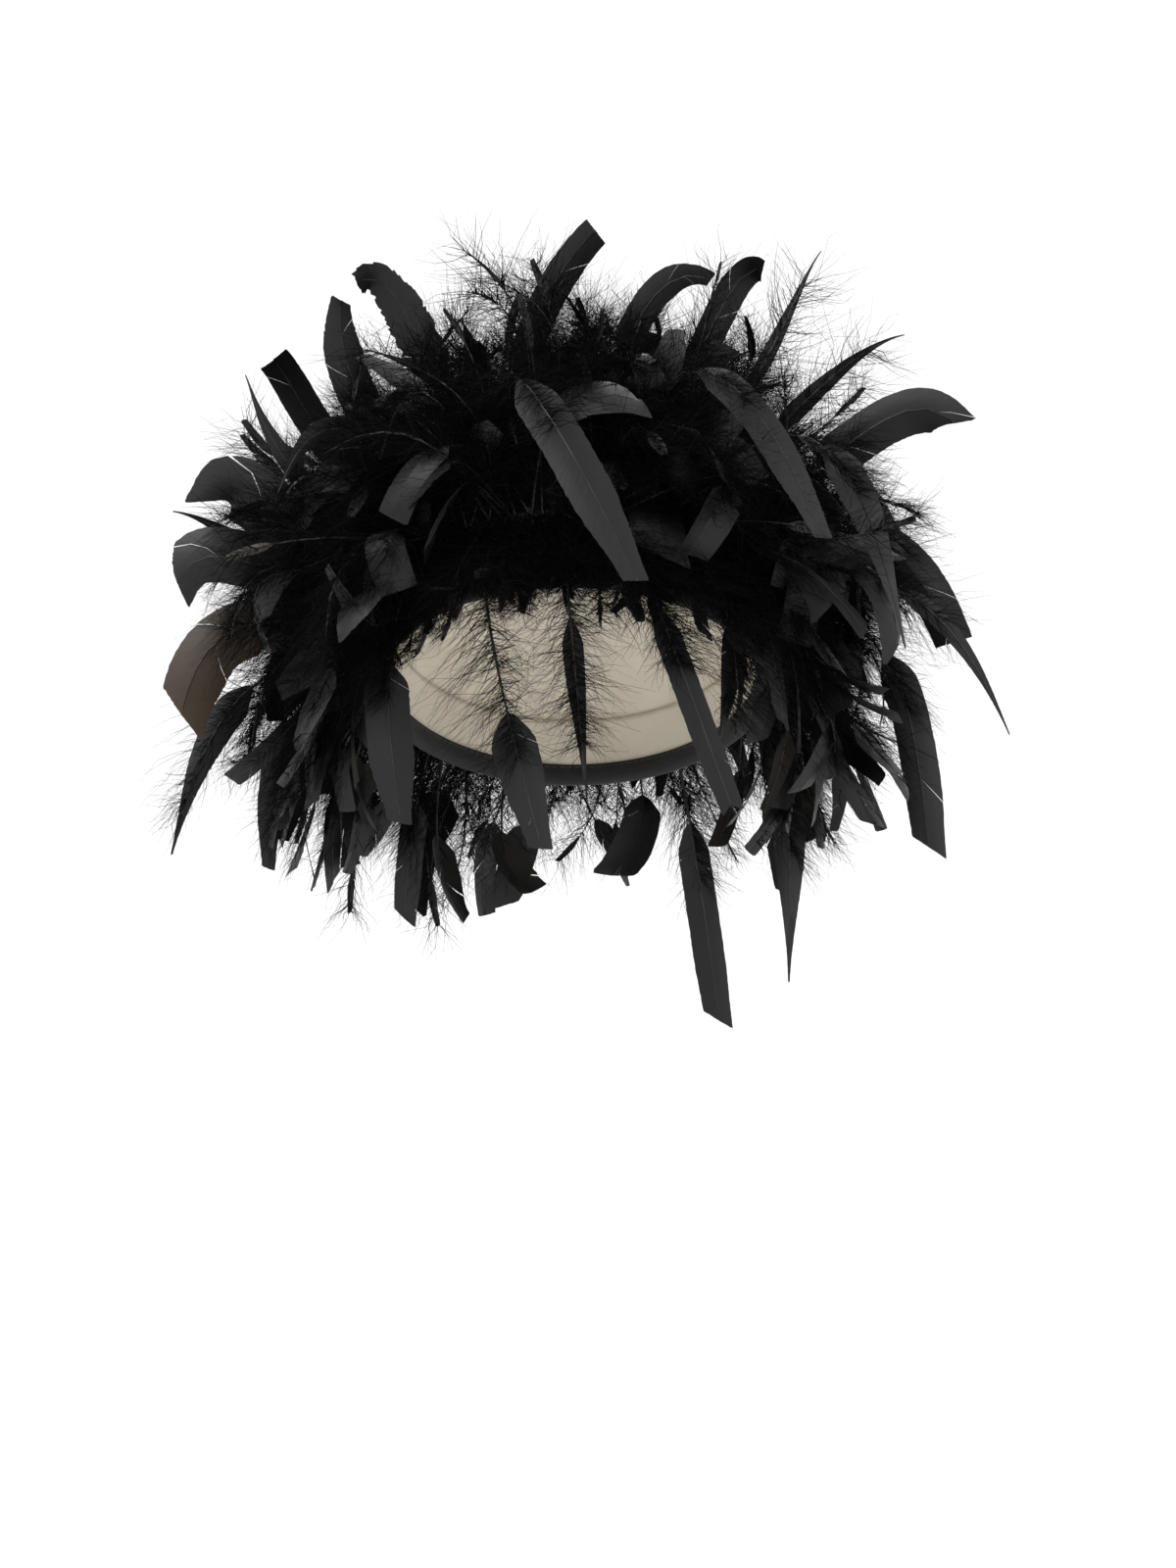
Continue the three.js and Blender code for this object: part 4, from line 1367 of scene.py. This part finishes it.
class Finishes:
    """Every finish of the headdress, made once."""

    def __init__(self) -> None:
        """Make the materials."""
        self.black = BladeFinish(
            "feather_black", (0.0016, 0.0016, 0.0018), (0.0085, 0.0085, 0.0092)).build()
        # The grey and brown blades are painted backlight: light shining through thin blades, drawn as
        # lighter colours.
        self.grey = BladeFinish("feather_grey", (0.010, 0.0102, 0.0106), (0.036, 0.0365, 0.0375)).build()
        self.brown = BladeFinish("feather_brown", (0.008, 0.0055, 0.0035), (0.040, 0.027, 0.0165)).build()
        self.down = DownFinish().build()
        self.quill = QuillFinish().build()
        self.cloth = WovenFinish(
            "cap_felt", (0.003, 0.003, 0.0034), (0.011, 0.011, 0.012),
            0.8, 0.8, 0.9, 0.06 * MM, 0.02).build()
        self.satin = WovenFinish(
            "satin_lining", (0.52, 0.47, 0.38), (0.78, 0.73, 0.63),
            0.35, 0.35, 0.42, 0.008 * MM, 0.1).build()
        self.ribbon = WovenFinish(
            "ribbon", (0.50, 0.45, 0.36), (0.74, 0.69, 0.59), 1.1, 0.3, 0.68, 0.12 * MM, 0.1).build()
        self.cord = WovenFinish(
            "boa_cord", (0.006, 0.006, 0.007), (0.03, 0.03, 0.032), 0.5, 0.9, 0.8, 0.05 * MM).build()
        self.thread = WovenFinish(
            "thread", (0.01, 0.01, 0.011), (0.05, 0.05, 0.053), 0.3, 0.4, 0.55, 0.03 * MM).build()
        self.steel = SteelFinish().build()

    def feathers(self) -> list[bpy.types.Material]:
        """A feather's materials, in the order of the numbers in Dye and of down and quill."""
        return [self.black, self.down, self.quill, self.grey, self.brown]


# --- The cap ---------------------------------------------------------------------------------------


@dataclass
class Cap:
    """The soft cap: six gores and a button, a satin lining, a sweatband and a bound rim."""

    spiral: BoaSpiral
    gores: int = 6
    gore_inside: float = 4.1 * MM
    gore_outside: float = 5.7 * MM
    hole_angle: float = 6
    seam_half: float = 0.25 * MM
    lining_inside: float = 2.2 * MM
    lining_outside: float = 2.8 * MM
    band_inside: float = 1.1 * MM
    band_outside: float = 1.9 * MM
    band_height: float = 25 * MM
    binding_outside: float = 6.8 * MM
    binding_wall: float = 0.8 * MM
    binding_floor: float = 4.9 * MM
    binding_inside_height: float = 4 * MM
    binding_outside_height: float = 7 * MM
    button_radius: float = 12 * MM
    button_thickness: float = 1.4 * MM
    sewn_gap: float = 0.3 * MM
    seam_tuck: float = 0.5 * MM
    seam_pucker: float = 0.12 * MM
    topstitch_from_seam: float = 2.6
    topstitch_from_top: float = 16
    gather_depth: float = 0.16 * MM
    lining_ease: float = 0.1 * MM
    lining_fold: float = 0.22 * MM
    lining_seam: float = 0.4 * MM
    rib_depth: float = 0.1 * MM
    ribs: int = 90
    band_lap: float = 0.5 * MM
    band_foot_stitch: float = 87.2
    band_top_stitch: float = 1.2
    binding_inside_stitch: float = 2.6 * MM
    binding_outside_stitch: float = 5.4 * MM

    def build(self, finishes: Finishes) -> list[bpy.types.Object]:
        """Make and dress every piece of the cap.

        Args:
            finishes: the headdress's finishes.

        Returns:
            The pieces.
        """
        pieces = [self._gore(number, finishes) for number in range(self.gores)]
        pieces += [make(finishes) for make in (self._button, self._lining, self._band, self._binding)]
        for piece in pieces:
            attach(piece, "root")
            LOG.info("%s: %d faces", piece.name, len(piece.data.polygons))
        for node in ("brim_wire", "wire_joiner"):
            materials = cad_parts[node].data.materials
            materials.clear()
            materials.append(finishes.steel)
        return pieces

    def _shell(self, parts: MeshParts, angles: np.ndarray, azimuths: np.ndarray, inside: np.ndarray,
               outside: np.ndarray, closed: bool) -> None:
        """Add a curved cloth shell with a thickness.

        Args:
            parts: the mesh that it joins.
            angles: rows, from the crown's top down, in degrees.
            azimuths: columns, in degrees, the same in every row or row by row.
            inside: the inner offset at each row and column.
            outside: the outer offset at each row and column.
            closed: whether it runs all the way round.
        """
        crown = self.spiral.crown
        angle, azimuth = np.broadcast_arrays(angles[:, None], np.atleast_2d(azimuths))
        outer = crown.worn(crown.point(angle, azimuth, outside))
        inner = crown.worn(crown.point(angle, azimuth, inside))
        rows, columns = angle.shape
        across = np.radians(azimuth) * np.sin(np.radians(angle)) * crown.half_width / MM
        down = np.radians(angle) * crown.depth / MM
        grain = np.stack([across, down], axis=-1)
        if closed:
            outer, inner, grain = (
                np.concatenate([part, part[:, :1]], axis=1) for part in (outer, inner, grain))
            columns += 1
        count = rows * columns
        skin = grid_quads(rows, columns)
        top = np.arange(columns - 1)
        foot = top + (rows - 1) * columns
        edges = [
            np.stack([top + 1, top, top + count, top + 1 + count], axis=1),
            np.stack([foot, foot + 1, foot + 1 + count, foot + count], axis=1),
        ]
        if not closed:
            left = np.arange(rows - 1) * columns
            right = left + columns - 1
            edges.append(np.stack([left, left + columns, left + columns + count, left + count], axis=1))
            edges.append(np.stack([right + columns, right, right + count, right + columns + count], axis=1))
        points = np.concatenate([outer.reshape(-1, 3), inner.reshape(-1, 3)])
        quads = np.concatenate([skin, skin[:, ::-1] + count, *edges])
        parts.add(points, quads, np.concatenate([grain.reshape(-1, 2)] * 2), 0)

    def _stitches(self, parts: MeshParts, line: np.ndarray, lift: np.ndarray, finish: int = 1,
                  length: float = 2.4 * MM, gap: float = 1.1 * MM, radius: float = 0.22 * MM) -> None:
        """Sew a row of running stitches along a line.

        Args:
            parts: the mesh that they join.
            line: the points of the row, as worn.
            lift: the way out of the cloth at each point.
            finish: the number of the thread's material.
            length: how long a stitch shows.
            gap: from one stitch to the next.
            radius: the thread's radius.
        """
        travelled = distances(line)
        steps = np.linspace(0, 1, 5)
        for start in np.arange(gap, travelled[-1] - length, length + gap):
            here = start + steps * length
            rise = np.sin(steps * math.pi) * radius * 1.6 - radius
            path = sampled(here, travelled, line) + sampled(here, travelled, lift) * rise[:, None]
            parts.add_thread(path, radius, 5, finish)

    def _gore(self, number: int, finishes: Finishes) -> bpy.types.Object:
        """One gore, turned in at its seams and topstitched beside them.

        Args:
            number: which gore, from 0 at the brow.
            finishes: the headdress's finishes.

        Returns:
            The piece.
        """
        parts = MeshParts()
        width = 360 / self.gores
        angles = np.linspace(self.hole_angle, 90, 40)
        share = np.linspace(-1, 1, 29)
        azimuths = number * width + share * width / 2
        seam = np.degrees(self.seam_half / self.spiral.crown.half_width) / np.sin(np.radians(angles))
        squeezed = np.abs(share) ** 8
        tuck = self.seam_tuck * squeezed[None, :] * np.ones((len(angles), 1))
        pucker = self.seam_pucker * np.sin(angles[:, None] * 1.9) * (np.abs(share) ** 3)[None, :]
        crown = self.spiral.crown
        outside = self.gore_outside - tuck + np.minimum(pucker, 0)
        spread = azimuths[None, :] - share[None, :] * seam[:, None]
        self._shell(parts, angles, spread, np.full_like(outside, self.gore_inside), outside, False)
        for side in SIDE_TO_SIDE:
            inset = self.topstitch_from_seam / np.sin(np.radians(angles))
            row = azimuths.mean() + side * (width / 2 - inset)
            keep = angles > self.topstitch_from_top
            line = crown.point(angles[keep], row[keep], self.gore_outside)
            self._stitches(parts, crown.worn(line), crown.worn(crown.normal(line)))
        node = f"cap_gore_{number + 1}"
        return parts.cover(f"{node}_cloth", node, [finishes.cloth, finishes.thread])

    def _button(self, finishes: Finishes) -> bpy.types.Object:
        """The covered button over the hole, domed and gathered at its edge.

        Args:
            finishes: the headdress's finishes.

        Returns:
            The piece.
        """
        crown = self.spiral.crown
        base = self.gore_outside + self.sewn_gap
        reach = math.degrees(self.button_radius / (crown.half_width + self.gore_outside))
        shares = np.array([0.02, 0.2, 0.4, 0.6, 0.75, 0.86, 0.94, 1.0])
        azimuths = np.linspace(0, 360, 96, endpoint=False)
        dome = self.button_thickness * np.sqrt(np.maximum(1 - shares ** 4, 0.03))
        gathers = self.gather_depth * np.sin(np.radians(azimuths) * 20)[None, :] * (shares ** 6)[:, None]
        parts = MeshParts()
        outside = base + dome[:, None] + np.minimum(gathers, 0)
        self._shell(parts, shares * reach, azimuths, np.full_like(outside, base), outside, True)
        return parts.cover("crown_button_cover", "crown_button", [finishes.cloth])

    def _lining(self, finishes: Finishes) -> bpy.types.Object:
        """The satin lining, eased in with soft folds that run up to the crown.

        Args:
            finishes: the headdress's finishes.

        Returns:
            The piece.
        """
        angles = np.concatenate([np.linspace(0.02, 70, 44), np.linspace(72, 90, 12)])
        azimuths = np.linspace(0, 360, 288, endpoint=False)
        turn = np.radians(azimuths)[None, :]
        low = smooth(angles, 4, 30)[:, None] * (1 - smooth(angles, 70, 84))[:, None]
        folds = 0.7 * np.sin(13 * turn + 0.8 * np.sin(3 * turn))
        folds = folds + 0.3 * np.sin(23 * turn + angles[:, None] / 40)
        seams = np.exp(-(((azimuths + 30) % 60 - 30) / 1.1) ** 2)[None, :]
        eased = (self.lining_fold * folds - self.lining_seam * seams) * low
        parts = MeshParts()
        inside = self.lining_inside + self.lining_ease + eased
        outside = inside + self.lining_outside - self.lining_inside
        self._shell(parts, angles, azimuths, inside, outside, True)
        return parts.cover("lining_satin", "lining", [finishes.satin])

    def _band(self, finishes: Finishes) -> bpy.types.Object:
        """The grosgrain sweatband, stitched along its foot and lapped at the nape.

        Args:
            finishes: the headdress's finishes.

        Returns:
            The piece.
        """
        crown = self.spiral.crown
        top = math.degrees(math.acos(self.band_height / (crown.depth + self.band_inside)))
        angles = np.linspace(top, 89.8, 12)
        azimuths = np.linspace(0, 360, 360, endpoint=False)
        ribs = self.rib_depth * np.sin(np.radians(azimuths) * self.ribs)[None, :] * np.ones((12, 1))
        lap = self.band_lap * np.exp(-((azimuths - 180) / 4.0) ** 8)[None, :] * np.ones((12, 1))
        parts = MeshParts()
        inside = self.band_inside + ribs - lap
        self._shell(parts, angles, azimuths, inside, np.full_like(inside, self.band_outside), True)
        turn = np.linspace(0, 360, 720)
        for angle in (self.band_foot_stitch, top + self.band_top_stitch):
            line = crown.point(angle, turn, self.band_inside)
            self._stitches(parts, crown.worn(line), crown.worn(-crown.normal(line)))
        return parts.cover("sweatband_grosgrain", "sweatband", [finishes.ribbon, finishes.ribbon])

    def _binding(self, finishes: Finishes) -> bpy.types.Object:
        """The rim's folded binding, rounded at the fold and stitched through on both sides.

        Args:
            finishes: the headdress's finishes.

        Returns:
            The piece.
        """
        crown = self.spiral.crown
        wall, out, floor = self.binding_wall, self.binding_outside, -self.binding_floor
        fold = [(math.cos(t), math.sin(t)) for t in np.linspace(math.pi, 2 * math.pi, 9)]
        half = out / 2
        outer = [(half + half * c, floor + half + half * s) for c, s in fold]
        inner = [(half + (half - wall) * c, floor + half + (half - wall) * s) for c, s in fold]
        outline = np.array([
            (0, self.binding_inside_height), *outer, (out, self.binding_outside_height),
            (out - wall, self.binding_outside_height), *inner[::-1], (wall, self.binding_inside_height)])
        azimuths = np.linspace(0, 360, 240, endpoint=False)
        rings = []
        for azimuth in azimuths:
            ring = crown.point(90, azimuth, outline[:, 0])
            ring[:, 2] = outline[:, 1]
            rings.append(ring)
        points = crown.worn(np.array(rings))
        across = np.radians(azimuths) * crown.half_width / MM
        round_it = np.cumsum(np.linalg.norm(np.diff(outline, axis=0, prepend=outline[:1]), axis=1)) / MM
        grain = np.stack(np.broadcast_arrays(across[:, None], round_it[None, :]), axis=-1)
        parts = MeshParts()
        quads = grid_quads(len(azimuths), len(outline), close_rows=True, close_columns=True)
        parts.add(points.reshape(-1, 3), quads, grain.reshape(-1, 2), 0)
        turn = np.linspace(0, 360, 720)
        rows = ((0.0, self.binding_inside_stitch, -1), (out, self.binding_outside_stitch, 1))
        for offset, height, way in rows:
            line = crown.point(90, turn, offset)
            lift = way * crown.normal(line)
            line[:, 2] = height
            self._stitches(parts, crown.worn(line), crown.worn(lift))
        materials = [finishes.cloth, finishes.thread]
        return parts.cover("rim_binding_cloth", "rim_binding", materials)


# --- The boa's cord and its sewing --------------------------------------------------------------------


@dataclass
class BoaCord:
    """The twisted cord of the boa, whipped at its ends and tacked to the cap."""

    spiral: BoaSpiral
    strands: int = 3
    lay: float = 9 * MM
    whipping_length: float = 4 * MM
    tacks: tuple[tuple[int, float], ...] = ((1, -120), (1, 120), (2, -60), (2, 60), (3, 0), (4, 0))
    thread_radius: float = 0.4 * MM
    cloth_thickness: float = 1.6 * MM
    thread_clearance: float = 0.3 * MM
    strand_share: float = 0.54
    whipping_from_end: float = 0.3 * MM
    tack_thread_share: float = 0.75
    tack_spread: float = 0.45 * MM

    def build(self, finishes: Finishes) -> list[bpy.types.Object]:
        """Make and dress the cord, its whippings and its tacks.

        Args:
            finishes: the headdress's finishes.

        Returns:
            The pieces.
        """
        pieces = [self._cord(finishes), self._whipping("start_whipping", 0.0, finishes),
                  self._whipping("end_whipping", self.spiral.turns, finishes)]
        pieces += [self._tack(number, *place, finishes) for number, place in enumerate(self.tacks, 1)]
        for piece in pieces:
            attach(piece, "root")
            LOG.info("%s: %d faces", piece.name, len(piece.data.polygons))
        return pieces

    def _cord(self, finishes: Finishes) -> bpy.types.Object:
        """Strands laid round each other all along the cord.

        Args:
            finishes: the headdress's finishes.

        Returns:
            The piece.
        """
        turns = np.linspace(0, self.spiral.turns, 1500)
        centre = self.spiral.cord(turns)
        _, out, _, down = (self.spiral.crown.worn(axis) for axis in self.spiral.axes(turns))
        travelled = distances(centre)
        strand = self.spiral.cord_radius * self.strand_share
        parts = MeshParts()
        for number in range(self.strands):
            turn = 2 * math.pi * (travelled / self.lay + number / self.strands)
            aside = out * np.cos(turn)[:, None] + down * np.sin(turn)[:, None]
            parts.add_thread(centre + aside * (self.spiral.cord_radius - strand), strand)
        return parts.cover("boa_cord_strands", "boa_cord", [finishes.cord])

    def _whipping(self, name: str, end: float, finishes: Finishes) -> bpy.types.Object:
        """Thread wound side by side round one end of the cord.

        Args:
            name: the node of the CAD model.
            end: the end, in turns from the nape.
            finishes: the headdress's finishes.

        Returns:
            The piece.
        """
        middle = (0.5 if end == 0 else -0.5) / STEPS_PER_TURN
        cord_end = self.spiral.cord(np.float64(end))
        axis = unit(self.spiral.cord(end + middle * 2) - cord_end)
        start = cord_end + axis * self.whipping_from_end
        wide = unit(np.cross(axis, [0.2, 0.4, 0.9]))
        high = np.cross(axis, wide)
        rounds = int(self.whipping_length / (2 * self.thread_radius)) + 1
        t = np.linspace(0, rounds, rounds * 20)
        radius = self.spiral.cord_radius + self.thread_radius
        turn = 2 * math.pi * t[:, None]
        line = start + axis * (t[:, None] / rounds * self.whipping_length)
        line = line + (wide * np.cos(turn) + high * np.sin(turn)) * radius
        parts = MeshParts()
        parts.add_thread(line, self.thread_radius)
        return parts.cover(f"{name}_thread", name, [finishes.thread])

    def _tack(self, number: int, turn: int, azimuth: float, finishes: Finishes) -> bpy.types.Object:
        """Two rounds of thread over the cord and through the cap.

        Args:
            number: which tack, from 1.
            turn: the turn of the boa that it holds.
            azimuth: where on that turn, in degrees.
            finishes: the headdress's finishes.

        Returns:
            The piece.
        """
        crown = self.spiral.crown
        seat, out, along, down = self.spiral.axes(np.float64(turn - 0.5 + azimuth / 360))
        half = self.spiral.cord_radius + self.thread_radius + self.thread_clearance
        high = self.spiral.cord_gap + self.spiral.cord_radius
        low = half - self.cloth_thickness - self.thread_radius - self.thread_clearance
        t = np.linspace(0, 2, 64)
        bend = 2 * math.pi * t[:, None]
        centre = seat + out * np.where(np.sin(bend) > 0, high, low)
        line = centre + (down * np.cos(bend) + out * np.sin(bend)) * half
        line = line + along * ((t[:, None] - 1) * self.tack_spread)
        parts = MeshParts()
        parts.add_thread(crown.worn(line), self.thread_radius * self.tack_thread_share)
        node = f"tack_stitch_{number}"
        return parts.cover(f"{node}_thread", node, [finishes.thread])


@dataclass
class NamedFeathers:
    """The feathers that can be told apart, each a piece of its own."""

    spiral: BoaSpiral
    first_seed: int = 100

    def build(self, finishes: Finishes) -> list[bpy.types.Object]:
        """Make every named feather.

        Args:
            finishes: the headdress's finishes.

        Returns:
            The pieces.
        """
        pieces = []
        for number, plume in enumerate([*HANGING, *STANDING]):
            parts = MeshParts()
            maker = FeatherMaker(np.random.default_rng(self.first_seed + number))
            maker.add(parts, plume.course(self.spiral), plume.form())
            piece = parts.cover(f"{plume.name}_plume", plume.name, finishes.feathers())
            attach(piece, plume.body)
            LOG.info("%s rides on %s: %d faces", piece.name, plume.body, len(piece.data.polygons))
            pieces.append(piece)
        return pieces


# --- The studio ------------------------------------------------------------------------------------


@dataclass(frozen=True)
class Lamp:
    """A soft square light that faces the headdress."""

    name: str
    at: tuple[float, float, float]
    size: float
    power: float


@dataclass(frozen=True)
class Studio:
    """A pale floor that sweeps up behind, soft light and the camera."""

    floor_height: float = -0.42
    camera_at: tuple[float, float, float] = (0.007, -1.0, -0.042)
    lens: float = 54.2
    sweep_start: float = 1.6
    sweep_radius: float = 0.9
    floor_front: float = -4.0
    floor_half_width: float = 5.0
    backdrop_top: float = 5.0
    aim_height: float = 0.03
    daylight: float = 0.9
    paper_dark: Colour = (0.9, 0.9, 0.9)
    paper_light: Colour = (0.93, 0.93, 0.93)
    lamps: tuple[Lamp, ...] = (
        Lamp("key_light", (-0.9, -1.0, 1.3), 1.1, 26),
        Lamp("fill_light", (1.2, -1.1, 0.5), 1.2, 9),
        Lamp("back_light", (0.3, 1.0, 1.3), 1.0, 16),
    )

    def build(self) -> None:
        """Set up the studio."""
        self._camera()
        self._floor()
        for lamp in self.lamps:
            self._lamp(lamp)
        world = bpy.data.worlds.new("studio")
        world.use_nodes = True
        background = world.node_tree.nodes["Background"]
        background.inputs["Color"].default_value = (1, 1, 1, 1)
        background.inputs["Strength"].default_value = self.daylight
        bpy.context.scene.world = world
        bpy.context.scene.view_settings.view_transform = "Standard"

    def _camera(self) -> None:
        """The camera, level with the brow and straight in front."""
        data = bpy.data.cameras.new("camera")
        data.lens = self.lens
        camera = bpy.data.objects.new("camera", data)
        camera.location = self.camera_at
        camera.rotation_euler = (math.radians(90), 0, 0)
        bpy.context.scene.collection.objects.link(camera)
        bpy.context.scene.camera = camera

    def _floor(self) -> None:
        """The floor, curved up into a backdrop."""
        radius = self.sweep_radius
        profile = [(self.floor_front, 0.0), (self.sweep_start, 0.0)]
        profile += [(self.sweep_start + math.sin(t) * radius, radius - math.cos(t) * radius)
                    for t in np.linspace(0.1, math.pi / 2, 12)]
        profile += [(self.sweep_start + radius, self.backdrop_top)]
        points = np.array([[side * self.floor_half_width, y, z + self.floor_height]
                           for y, z in profile for side in SIDE_TO_SIDE])
        parts = MeshParts()
        parts.add(points, grid_quads(len(profile), 2))
        material, tree, shader = new_material("studio_paper")
        fine = noise(tree, place(tree), 30, 2)
        colour = ramp(tree, fine, [(0.3, self.paper_dark), (0.7, self.paper_light)])
        tree.links.new(colour, shader.inputs["Base Color"])
        shader.inputs["Roughness"].default_value = 0.9
        parts.build("studio_floor", [material])

    def _lamp(self, lamp: Lamp) -> None:
        """One light, turned to the headdress.

        Args:
            lamp: its place, size and power.
        """
        data = bpy.data.lights.new(lamp.name, "AREA")
        data.size = lamp.size
        data.energy = lamp.power
        light = bpy.data.objects.new(lamp.name, data)
        light.location = lamp.at
        aim = np.array([0.0, 0.0, self.aim_height]) - np.array(lamp.at)
        light.rotation_euler = (
            math.atan2(math.hypot(aim[0], aim[1]), -aim[2]), 0.0, math.atan2(aim[1], aim[0]) - math.pi / 2)
        bpy.context.scene.collection.objects.link(light)


def main() -> None:
    """Build the headdress, from the cap outwards, and set up the studio."""
    logging.basicConfig(level=logging.INFO, format="%(name)s: %(message)s")
    Studio().build()
    finishes = Finishes()
    spiral = BoaSpiral(Crown())
    Cap(spiral).build(finishes)
    BoaCord(spiral).build(finishes)
    NamedFeathers(spiral).build(finishes)
    Plumage(spiral).build(finishes)


if __name__ == "__main__":
    main()
